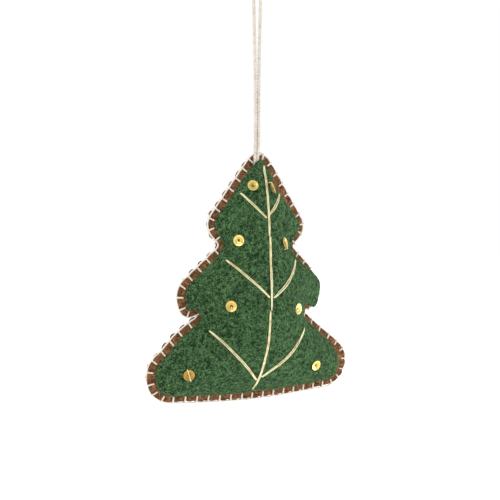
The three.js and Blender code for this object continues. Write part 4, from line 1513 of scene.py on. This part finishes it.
@dataclass
class BlanketStitch:
    """White cotton round the edge: a purl that runs along it, and arms over the front and the back.

    The rows over the edge are insets and depths, from the front to the back.
    """

    dresser: Dresser
    seam: SeamRun
    stitches: np.ndarray
    front: FeltFace
    back: FeltFace
    felt: FeltTree
    thread: Thread = Thread(diameter=0.88, plies=2, lay=2.4, step=0.2, groove=0.07)
    finish: CottonFinish = CottonFinish("white_stitching_cotton", (255, 247, 234), (252, 234, 214), slub=3.0)
    arm_reach: float = 2.75
    arm_end: float = 0.8
    arm_points: int = 6
    rest_share: float = 0.8
    flat_depth: float = 0.9
    sink_in: float = 0.35
    sink_depth: float = 0.9
    over_edge: tuple[tuple[float, float], ...] = ((0.3, -1.1), (0.1, -0.6), (0.1, 0.35), (0.3, 0.9))
    purl_gap: float = 1.8
    least_points: int = 3
    purl_depth: float = -1.05
    purl_right: float = -0.2
    purl_rolled: float = 0.3
    purl_inset: float = 0.12
    purl_tuck: float = 0.4
    purl_drop: float = 0.15
    purl_slack: float = 0.1
    purl_wander: float = 0.12
    purl_sway: float = 0.15
    right_ease: float = 0.5
    wander_step: float = 0.37
    wander_seed: float = 1.3

    def arm(self, distance: float) -> list[Vector]:
        """Works out one stitch: out of the front felt, over the edge and into the back felt.

        Args:
            distance: The stitch's place along the seam.

        Returns:
            The stitch's line.
        """
        place, outward = self.seam.at(distance)
        rest = self.thread.diameter / 2 * self.rest_share

        def over(inset: float, depth: float) -> Point:
            """A place at an inset from the seam line and a depth on the folded border."""
            x, z = place - outward * inset
            return (float(x), depth + self.folded(x, z, inset), float(z))

        def on_face(inset: float, side: Side, face: FeltFace) -> Point:
            """A place for the thread on a brown layer.

            Args:
                inset: The place's inset from the seam line.
                side: The face that the layer is on.
                face: The layer.

            Returns:
                The place.
            """
            x, z = place - outward * inset
            hit = face.at(float(x), float(z), side)
            depth = hit[0].y if hit else side.value * self.flat_depth + self.folded(x, z, inset)
            return (float(x), depth + side.value * rest, float(z))

        insets = np.linspace(self.arm_reach, self.arm_end, self.arm_points)
        front = [on_face(inset, Side.FRONT, self.front) for inset in insets]
        back = [on_face(inset, Side.BACK, self.back) for inset in reversed(insets)]
        edge = [over(inset, depth) for inset, depth in self.over_edge]
        inward = Vector((-outward[0], 0.0, -outward[1])) * self.sink_in
        sink = Vector((0, self.sink_depth, 0))
        sunk_front = tuple(Vector(front[0]) + inward + sink)
        sunk_back = tuple(Vector(back[-1]) + inward - sink)
        return spline([sunk_front, *front, *edge, *back, sunk_back], self.thread.step)

    def folded(self, x: float, z: float, inset: float) -> float:
        """How far the border is folded back at one place."""
        return float(self.felt.fold(np.array([[x, 0.0, z]]), np.array([inset]))[0])

    def purl_at(self, distance: float, share: float, wander: float) -> Point:
        """Finds a place on the line along the edge.

        Args:
            distance: The place's distance along the seam.
            share: How far it is from one stitch to the next, from 0 to 1.
            wander: How far the thread strays there, from -1 to 1.

        Returns:
            The place.
        """
        place, outward = self.seam.at(distance)
        slack = math.sin(math.pi * share)
        rolled = float(self.felt.rolled_back(np.array([distance]))[0])
        right = float(smooth_step(np.array([outward[0] / self.right_ease]))[0])
        drop = self.purl_drop * float(self.felt.facing_down(outward[None])[0]) * (1 - rolled)
        hidden = self.purl_inset + self.purl_tuck * max(rolled, right)
        x, z = place + outward * (self.purl_slack * slack + self.purl_wander * wander + drop - hidden)
        depth = self.purl_depth + (self.purl_right - self.purl_depth) * right
        depth += (self.purl_rolled - depth) * rolled
        depth += self.purl_sway * slack * wander + self.folded(x, z, 0.0)
        return (float(x), depth, float(z))

    def purl(self) -> list[Vector]:
        """Works out the line along the edge, from stitch to stitch.

        Returns:
            The closed line, without its first point again at its end.
        """
        points = []
        ends = np.append(self.stitches, self.stitches[0] + self.seam.length)
        for k, (start, end) in enumerate(zip(ends, ends[1:])):
            count = max(self.least_points, round((end - start) / self.purl_gap))
            for share in np.arange(count) / count:
                wander = noise.noise(Vector((k * self.wander_step, share, self.wander_seed)))
                points.append(self.purl_at(start + (end - start) * share, share, wander))
        return spline([*points, points[0]], self.thread.step)[:-1]

    def build(self) -> None:
        """Makes the whole stitch as one piece."""
        material = self.finish.material()
        purl = self.thread.lay_along("stitch_purl", [self.purl()], closed=True)
        arms = self.thread.lay_along("blanket_stitching", [self.arm(d) for d in self.stitches])
        activate(arms)
        purl.select_set(True)
        bpy.ops.object.join()
        self.dresser.seat(arms)
        self.dresser.dress_on_tree(arms, material, Slot.COTTON, "blanket_stitch")


@dataclass(frozen=True)
class GoldStitch:
    """One stitch's solid, and how far the stitch lies from it in millimetres.

    Its top starts further in and to the right, its bottom is moved by X and Z, and its middle sags.
    """

    node: str
    start_in: float = 0.0
    jog: float = 0.0
    end_move: tuple[float, float] = (0.0, 0.0)
    sag: float = 0.0


@dataclass
class Embroidery:
    """Doubled gold thread: a stem of three stitches and six branch stitches."""

    dresser: Dresser
    thread: Thread = Thread(diameter=0.64, plies=2, lay=1.6, step=0.16, groove=0.24)
    finish: GoldThreadFinish = GoldThreadFinish("gold_metal_thread", (250, 242, 196), (208, 164, 104))
    spacing: float = 0.72
    bury: float = 1.3
    end_points: int = 8
    point_gap: float = 1.5
    least_points: int = 6
    wave: float = 0.14
    wave_length: float = 5.0
    wave_seed: float = 0.5
    end_width: float = 0.45
    widening: float = 0.4
    rest_share: float = 0.32
    lead_in: float = 0.4
    strand_seed: float = 0.31
    stitches: tuple[GoldStitch, ...] = (
        GoldStitch("stem_stitch_upper", start_in=1.1, end_move=(0.4, 0.0)),
        GoldStitch("stem_stitch_middle", jog=0.9),
        GoldStitch("stem_stitch_lower", jog=-0.6),
        GoldStitch("branch_stitch_upper_left", start_in=1.0, end_move=(0.6, -0.6)),
        GoldStitch("branch_stitch_upper_right", start_in=0.3, end_move=(-1.6, 0.5), sag=0.6),
        GoldStitch("branch_stitch_middle_left", start_in=1.2, end_move=(0.7, -0.5)),
        GoldStitch("branch_stitch_middle_right", start_in=1.2, end_move=(-0.4, -0.7), sag=1.0),
        GoldStitch("branch_stitch_lower_left", start_in=0.6, end_move=(0.6, -0.6)),
        GoldStitch("branch_stitch_lower_right", start_in=1.4, end_move=(-0.4, 0.9), sag=0.9),
    )

    def ends(self, stitch: GoldStitch) -> tuple[np.ndarray, np.ndarray]:
        """Finds a stitch's ends from its solid.

        Args:
            stitch: The stitch.

        Returns:
            Its top and bottom, as X and Z.
        """
        points = self.dresser.place.to_tree(coordinates(bpy.data.objects[stitch.node]))
        points = np.unique(points.round(decimals=4), axis=0)
        order = points[points[:, 2].argsort()]
        top = order[-self.end_points :].mean(0)[[0, 2]]
        bottom = order[: self.end_points].mean(0)[[0, 2]]
        on = (bottom - top) / np.linalg.norm(bottom - top)
        return top + on * stitch.start_in + (stitch.jog, 0.0), bottom + stitch.end_move

    def lines(self) -> list[tuple[np.ndarray, np.ndarray]]:
        """All the stitches' ends."""
        return [self.ends(stitch) for stitch in self.stitches]

    def strand(self, face: FeltFace, stitch: GoldStitch, offset: float, seed: float) -> list[Vector]:
        """Lays one strand of a stitch on the felt and buries both its ends.

        Args:
            face: The green felt.
            stitch: The stitch.
            offset: How far the strand lies to the side of the stitch's middle.
            seed: Picks the strand's small waves.

        Returns:
            The strand's line.
        """
        top, bottom = self.ends(stitch)
        run = bottom - top
        length = float(np.linalg.norm(run))
        across = np.array([run[1], -run[0]]) / length
        points = []
        for share in np.linspace(0, 1, max(self.least_points, round(length / self.point_gap))):
            arch = math.sin(math.pi * share)
            wave = self.wave * noise.noise(Vector((share * length / self.wave_length, seed, self.wave_seed)))
            apart = offset * (self.end_width + (1 - self.end_width) * arch**self.widening)
            x, z = top + run * share + across * (apart + wave - stitch.sag * arch)
            hit = face.at(float(x), float(z), Side.FRONT)
            if hit:
                lift = hit[1] * (self.thread.diameter * self.rest_share)
                points.append(tuple(hit[0] + lift))
        lead = Vector((run[0] / length, 0.0, run[1] / length)) * self.lead_in
        sink = Vector((0.0, self.bury, 0.0))
        first = tuple(Vector(points[0]) - lead + sink)
        last = tuple(Vector(points[-1]) + lead + sink)
        return spline([first, *points, last], self.thread.step)

    def build(self, face: FeltFace) -> None:
        """Makes each stitch as a piece of two strands.

        Args:
            face: The green felt.
        """
        material = self.finish.material()
        half = self.spacing / 2
        for k, stitch in enumerate(self.stitches):
            runs = [self.strand(face, stitch, s * half, k + self.strand_seed * s) for s in (-1, 1)]
            piece = self.thread.lay_along(stitch.node.replace("_stitch", "_gold"), runs)
            self.dresser.seat(piece)
            self.dresser.dress_on_tree(piece, material, Slot.GOLD, stitch.node)


@dataclass(frozen=True)
class SewnSequin:
    """One sequin's row and hand, and how it lies apart from its solid.

    It is moved by X and Z in millimetres, tilted back and aside in degrees, and darkened by its shade, which
    is painted shade over the whole sequin.
    A stitch that crosses it lies at an angle in degrees, and any other lies as its own solid does.
    """

    key: str
    move: tuple[float, float]
    tilt: tuple[float, float] = (0.0, 0.0)
    shade: float = 0.0
    crossing: float | None = None


@dataclass
class Sequins:
    """Eight cupped sequins, each held by a stitch of gold thread.

    Flat rings are rows of a share of the flat's radius and a height, and cup rings are rows of shares of the
    edge's radius and of the cup's height. The stitch goes by rows of how far out and how high it is: from the
    hole's middle, as shares of the edge's radius with heights over the cup, and past the rim.
    """

    dresser: Dresser
    diameter: float = 5.0
    hole: float = 1.2
    flat: float = 2.6
    cup: float = 0.42
    sheet: float = 0.12
    flat_rings: tuple[tuple[float, float], ...] = ((0.8, 0.0), (1.0, 0.04), (1.12, 0.16))
    cup_rings: tuple[tuple[float, float], ...] = ((0.8, 0.72), (0.94, 0.97), (1.0, 1.0))
    flat_shade_reach: float = 0.16
    hole_shade_reach: float = 0.2
    rests_on: tuple[tuple[int, int], ...] = ((0, 0), (1, 0), (-1, 0), (0, 1), (0, -1))
    in_hole: tuple[tuple[float, float], ...] = ((0.0, -0.8), (0.02, 0.25), (0.35, 0.55))
    over_cup: tuple[tuple[float, float], ...] = ((0.55, 0.08), (0.97, 0.16))
    rim_clear: float = 0.12
    rim_drop: float = 0.6
    past_rim: tuple[tuple[float, float], ...] = ((0.15, -0.3), (0.1, -1.2))
    thread: Thread = Thread(diameter=0.36, plies=2, lay=1.2, step=0.12, sides=10)
    # The film's second colour is both the worn patches' tone and the painted shade's colour.
    finish: SequinFinish = SequinFinish("gold_sequin_film", (228, 204, 118), (150, 104, 36))
    thread_finish: GoldThreadFinish = GoldThreadFinish("gold_sewing_thread", (238, 222, 160), (196, 146, 80))
    cross_thread: Thread = Thread(diameter=0.62, plies=2, lay=1.2, step=0.12, sides=10)
    # A sequin's shade is painted shade over the whole sequin, towards the film's darker colour.
    sequins: tuple[SewnSequin, ...] = (
        SewnSequin("1_left", (0.3, -0.5)),
        SewnSequin("1_right", (-0.7, -0.9), tilt=(0.0, 18.0), shade=0.7, crossing=-60.0),
        SewnSequin("2_left", (1.0, 0.4)),
        SewnSequin("2_right", (-2.3, -0.5), tilt=(13.0, 0.0), shade=0.1, crossing=-80.0),
        SewnSequin("3_left", (0.5, 1.1), shade=0.3),
        SewnSequin("3_right", (-0.9, -1.25), tilt=(0.0, -8.0)),
        SewnSequin("4_left", (0.2, 0.6), shade=0.8, crossing=-72.0),
        SewnSequin("4_right", (-0.9, 0.3)),
    )

    def cup_shape(self) -> bpy.types.Object:
        """Models one sequin, in millimetres.

        Returns:
            The sequin, its hole on the Z axis and its cup open towards +Z.
        """
        edge, flat, hole = self.diameter / 2, self.flat / 2, self.hole / 2
        rings = [(flat * share, rise) for share, rise in self.flat_rings]
        rings += [(edge * share, self.cup * rise) for share, rise in self.cup_rings]
        bpy.ops.object.select_all(action="DESELECT")
        bpy.ops.mesh.primitive_circle_add(vertices=32, radius=hole, fill_type="NOTHING")
        piece = bpy.context.object
        bpy.ops.object.mode_set(mode="EDIT")
        bpy.ops.mesh.select_all(action="SELECT")
        reach, height = hole, 0.0
        for radius, rise in rings:
            growth = radius / reach
            bpy.ops.mesh.extrude_edges_move()
            bpy.ops.transform.resize(value=(growth, growth, 1.0), center_override=(0, 0, height))
            bpy.ops.transform.translate(value=(0, 0, rise - height))
            reach, height = radius, rise
        bpy.ops.mesh.select_all(action="SELECT")
        bpy.ops.mesh.normals_make_consistent(inside=False)
        bpy.ops.object.mode_set(mode="OBJECT")
        sheet = piece.modifiers.new("sheet", "SOLIDIFY")
        sheet.thickness = self.sheet
        sheet.offset = 0.0
        soft = piece.modifiers.new("pressed", "SUBSURF")
        soft.levels = soft.render_levels = 1
        apply_modifiers(piece)
        bpy.ops.object.shade_smooth()
        radii = np.linalg.norm(coordinates(piece)[:, :2], axis=1)
        # Painted shade in the crease at the flat's edge and round the hole, kept as the ring mask.
        groove = bell(radii - flat, self.flat_shade_reach) + bell(radii - hole, self.hole_shade_reach)
        set_mask(piece, "ring", np.clip(groove, 0, 1))
        return piece

    def seat_of(self, sequin: SewnSequin, face: FeltFace) -> Matrix:
        """Finds where a sequin sits on the felt.

        Args:
            sequin: The sequin.
            face: The green felt.

        Returns:
            Its base's middle, with Z along the way that it faces and Y up.
        """
        points = self.dresser.place.to_tree(coordinates(bpy.data.objects[f"sequin_{sequin.key}"]))
        x, _, z = (points.max(0) + points.min(0)) / 2 + (sequin.move[0], 0.0, sequin.move[1])
        reach = self.flat / 2
        hits = [face.at(x + u * reach, z + v * reach, Side.FRONT) for u, v in self.rests_on]
        found = [hit for hit in hits if hit]
        facing = sum((normal for _, normal in found), Vector()).normalized()
        if facing.y > 0:
            facing.negate()
        rise = max((place - found[0][0]).dot(facing) for place, _ in found)
        up = (Vector((0, 0, 1)) - facing * facing.z).normalized()
        turn = Matrix((up.cross(facing), up, facing)).transposed().to_4x4()
        back, aside = sequin.tilt
        turn = turn @ Matrix.Rotation(math.radians(-back), 4, "X")
        turn = turn @ Matrix.Rotation(math.radians(aside), 4, "Y")
        lifted = rise + self.sheet + reach * math.sin(math.radians(abs(back)))
        return Matrix.Translation(found[0][0] + facing * lifted) @ turn

    def way_over(self, node: str, seat: Matrix) -> Vector:
        """Finds which way a stitch lies across its sequin.

        Args:
            node: The stitch's solid.
            seat: The sequin's seat.

        Returns:
            The way from the hole, in the sequin's plane.
        """
        middle = self.dresser.place.to_tree(coordinates(bpy.data.objects[node])).mean(0)
        way = seat.inverted() @ Vector(middle)
        return Vector((way.x, way.y, 0)).normalized()

    def way_at(self, angle: float) -> Vector:
        """The way across a sequin at an angle in degrees, counterclockwise from its right."""
        return Vector((math.cos(math.radians(angle)), math.sin(math.radians(angle)), 0))

    def stitch(self, seat: Matrix, towards: Vector) -> list[Vector]:
        """A stitch out of the hole, over the rim and into the felt.

        Args:
            seat: The sequin's seat.
            towards: The stitch's way across the sequin, in its own plane.

        Returns:
            The stitch's line.
        """
        edge = self.diameter / 2
        run = [*self.in_hole, *[(edge * share, self.cup + rise) for share, rise in self.over_cup]]
        run += [(edge + self.rim_clear, self.cup * self.rim_drop)]
        run += [(edge + clear, height) for clear, height in self.past_rim]
        return spline([tuple(seat @ (towards * u + Vector((0, 0, h)))) for u, h in run], self.thread.step)

    def press(
        self, sequin: SewnSequin, seat: Matrix, model: bpy.types.Object, material: bpy.types.Material
    ) -> None:
        """Makes one sequin.

        Args:
            sequin: The sequin.
            seat: Its seat.
            model: The shape to copy.
            material: The gold film.
        """
        piece = linked(f"gold_sequin_{sequin.key}", model.data.copy())
        piece.data.transform(seat)
        # Painted shade over the whole sequin, by its shade.
        set_mask(piece, "shade", np.full(len(piece.data.vertices), sequin.shade))
        self.dresser.seat(piece)
        self.dresser.dress_on_tree(piece, material, Slot.SEQUIN, f"sequin_{sequin.key}")

    def sew(self, sequin: SewnSequin, seat: Matrix, material: bpy.types.Material) -> None:
        """Makes the stitch that holds a sequin, to one side of its hole or across it.

        Args:
            sequin: The sequin.
            seat: Its seat.
            material: The gold thread.
        """
        node = f"sequin_stitch_{sequin.key}"
        if sequin.crossing is None:
            thread, ways = self.thread, [self.way_over(node, seat)]
        else:
            thread, ways = self.cross_thread, [self.way_at(sequin.crossing), -self.way_at(sequin.crossing)]
        piece = thread.lay_along(f"sequin_thread_{sequin.key}", [self.stitch(seat, way) for way in ways])
        self.dresser.seat(piece)
        self.dresser.dress_on_tree(piece, material, Slot.GOLD, node)

    def build(self, face: FeltFace) -> None:
        """Makes the sequins and their stitches.

        Args:
            face: The green felt.
        """
        film = self.finish.material()
        gold = self.thread_finish.material()
        model = self.cup_shape()
        for sequin in self.sequins:
            seat = self.seat_of(sequin, face)
            self.press(sequin, seat, model, film)
            self.sew(sequin, seat, gold)
        bpy.data.objects.remove(model)


@dataclass
class LooseFibres:
    """Wool fibres that stand out of the felt."""

    dresser: Dresser
    length: float = 2.2
    radius: float = 0.05
    rises: tuple[float, ...] = (0.12, 0.22, 0.12, -0.06)
    sways: tuple[float, ...] = (0.1, 0.2, 0.05, -0.22)
    taper: float = 0.8
    shortest: float = 0.45
    longest: float = 1.15
    size_seed: int = 3
    tone_seed: int = 5
    green: FibreFinish = FibreFinish("green_loose_fibre", (48, 84, 44), (152, 188, 137))
    brown: FibreFinish = FibreFinish("brown_loose_fibre", (92, 62, 38), (150, 112, 78))
    panel_density: float = 62.0
    border_density: float = 45.0
    back_density: float = 30.0

    def fibre(self) -> bpy.types.Object:
        """Models one fibre, in metres.

        Returns:
            The fibre, which lies along +X and lifts off the felt.
        """
        bpy.ops.object.select_all(action="DESELECT")
        step = self.length / len(self.rises) * MM
        bpy.ops.mesh.primitive_circle_add(
            vertices=3, radius=self.radius * MM, rotation=(0, math.radians(90), 0), fill_type="NGON"
        )
        piece = bpy.context.object
        bpy.ops.object.transform_apply(location=True, rotation=True, scale=True)
        bpy.ops.object.mode_set(mode="EDIT")
        bpy.ops.mesh.select_all(action="SELECT")
        for rise, sway in zip(self.rises, self.sways):
            move = {"value": (step, sway * MM, rise * MM)}
            bpy.ops.mesh.extrude_region_move(TRANSFORM_OT_translate=move)
            bpy.ops.transform.resize(value=(1.0, self.taper, self.taper))
        bpy.ops.object.mode_set(mode="OBJECT")
        return piece

    def scatter(self, fibre: bpy.types.Object, density: float, seed: int) -> bpy.types.NodeTree:
        """Builds the node group that sows fibres over a felt piece.

        Args:
            fibre: The fibre to copy.
            density: Fibres on each square metre.
            seed: Picks their places.

        Returns:
            The node group.
        """
        tree = bpy.data.node_groups.new("sown_fibres", "GeometryNodeTree")
        for way in ("INPUT", "OUTPUT"):
            tree.interface.new_socket("Geometry", in_out=way, socket_type="NodeSocketGeometry")
        graph = NodeGraph(tree)
        given = graph.add("NodeGroupInput", {}).outputs["Geometry"]
        shown = graph.add("GeometryNodeInputNamedAttribute", {"Name": "shown"}).outputs["Attribute"]
        inputs = {"Mesh": given, "Density": graph.scaled(shown, density), "Seed": seed}
        places = graph.add("GeometryNodeDistributePointsOnFaces", inputs)
        angle = graph.add("FunctionNodeRandomValue", {"Max": 2 * math.pi}).outputs["Value"]
        spin = graph.add("FunctionNodeAxisAngleToRotation", {"Angle": angle}).outputs["Rotation"]
        inputs = {"Rotation": places.outputs["Rotation"], "Rotate By": spin}
        aim = graph.add("FunctionNodeRotateRotation", inputs, rotation_space="LOCAL").outputs["Rotation"]
        inputs = {"Min": self.shortest, "Max": self.longest, "Seed": self.size_seed}
        size = graph.add("FunctionNodeRandomValue", inputs).outputs["Value"]
        copied = graph.add("GeometryNodeObjectInfo", {"Object": fibre}).outputs["Geometry"]
        inputs = {"Points": places.outputs["Points"], "Instance": copied, "Rotation": aim, "Scale": size}
        sown = graph.add("GeometryNodeInstanceOnPoints", inputs).outputs["Instances"]
        tone = graph.add("FunctionNodeRandomValue", {"Seed": self.tone_seed}).outputs["Value"]
        inputs = {"Geometry": sown, "Name": "tone", "Value": tone}
        toned = graph.add("GeometryNodeStoreNamedAttribute", inputs, domain="INSTANCE").outputs["Geometry"]
        real = graph.add("GeometryNodeRealizeInstances", {"Geometry": toned}).outputs["Geometry"]
        graph.add("NodeGroupOutput", {"Geometry": real})
        return tree

    def sow(self, felt: str, name: str, density: float, seed: int, finish: FibreFinish, slot: Slot) -> None:
        """Sows fibres over a felt piece, as a piece of their own.

        Args:
            felt: The felt piece's name.
            name: The fibres' name.
            density: Fibres on each square centimetre.
            seed: Picks their places.
            finish: The fibres' finish.
            slot: The felt's material slot.
        """
        fibre = self.fibre()
        piece = linked(name, bpy.data.objects[felt].data.copy())
        sown = piece.modifiers.new("sown", "NODES")
        sown.node_group = self.scatter(fibre, density * CM2_PER_M2, seed)
        apply_modifiers(piece)
        bpy.data.objects.remove(fibre)
        self.dresser.dress_on_tree(piece, finish.material(), slot)

    def build(self) -> None:
        """Sows the green panel and both brown layers."""
        rows = (
            ("green_panel", "green_fibres", self.panel_density, self.green, Slot.GREEN),
            ("brown_front_layer", "brown_front_fibres", self.border_density, self.brown, Slot.BROWN),
            ("brown_back_layer", "brown_back_fibres", self.back_density, self.brown, Slot.BROWN),
        )
        for seed, (felt, name, density, finish, slot) in enumerate(rows, start=1):
            self.sow(felt, name, density, seed, finish, slot)


@dataclass(frozen=True)
class StitchPlan:
    """How the blanket stitch is spaced round the seam."""

    pitch: float = 5.6
    gap_at_loop: float = 9.0
    side: float = 5.0
    turn: float = 40.0
    fine_side: float = 0.3
    fine_turn: float = 6.0

    def run(self, line: SeamLine) -> SeamRun:
        """The seam's fine ring."""
        return SeamRun(line.ring(self.fine_side, self.fine_turn))

    def places(self, line: SeamLine, seam: SeamRun, loop_offset: float) -> np.ndarray:
        """Finds the stitches' distances along the seam.

        Args:
            line: The seam line.
            seam: Its fine ring.
            loop_offset: How far left of the tip the loop is tucked in.

        Returns:
            The distances along the fine ring, in order.
        """
        coarse = SeamRun(line.ring(self.side, self.turn))
        marks = np.arange(math.ceil(coarse.length), dtype=float)
        tucked = np.array([-loop_offset, 0.0])
        loop = min(marks, key=lambda mark: float(np.linalg.norm(coarse.at(mark)[0] - tucked)))
        lap = coarse.length - self.gap_at_loop
        gaps = round(lap / self.pitch)
        places = [coarse.at(loop + self.gap_at_loop / 2 + lap * k / gaps)[0] for k in range(gaps + 1)]
        return np.sort(seam.nearest(np.array(places))[1])


def main() -> None:
    """Builds the ornament on its frame."""
    logging.basicConfig(level=logging.INFO, format="%(name)s: %(message)s")
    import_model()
    Studio().build()
    line = SeamLine()
    _, lower_left, *_ = line.notches()
    dresser = Dresser(TreePlace(line.lobe(), tuple(lower_left)))
    HangingLoop(dresser).build()
    plan = StitchPlan()
    seam = plan.run(line)
    stitches = plan.places(line, seam, dresser.place.loop_offset)
    tree = FeltTree(dresser, seam, stitches, line.notches())
    tree.stuffing()
    brown = tree.brown.material()
    front = tree.brown_layer("front_border_felt", "brown_front_layer", Side.FRONT, tree.front_bulge, brown)
    back = tree.brown_layer("back_felt", "brown_back_layer", Side.BACK, tree.back_bulge, brown)
    gold = Embroidery(dresser)
    green = tree.green_panel(gold.lines(), tree.green.material())
    BlanketStitch(dresser, seam, stitches, front, back, tree).build()
    gold.build(green)
    Sequins(dresser).build(green)
    LooseFibres(dresser).build()
    LOG.info("%d pieces", len(dresser.made))


if __name__ == "__main__":
    main()
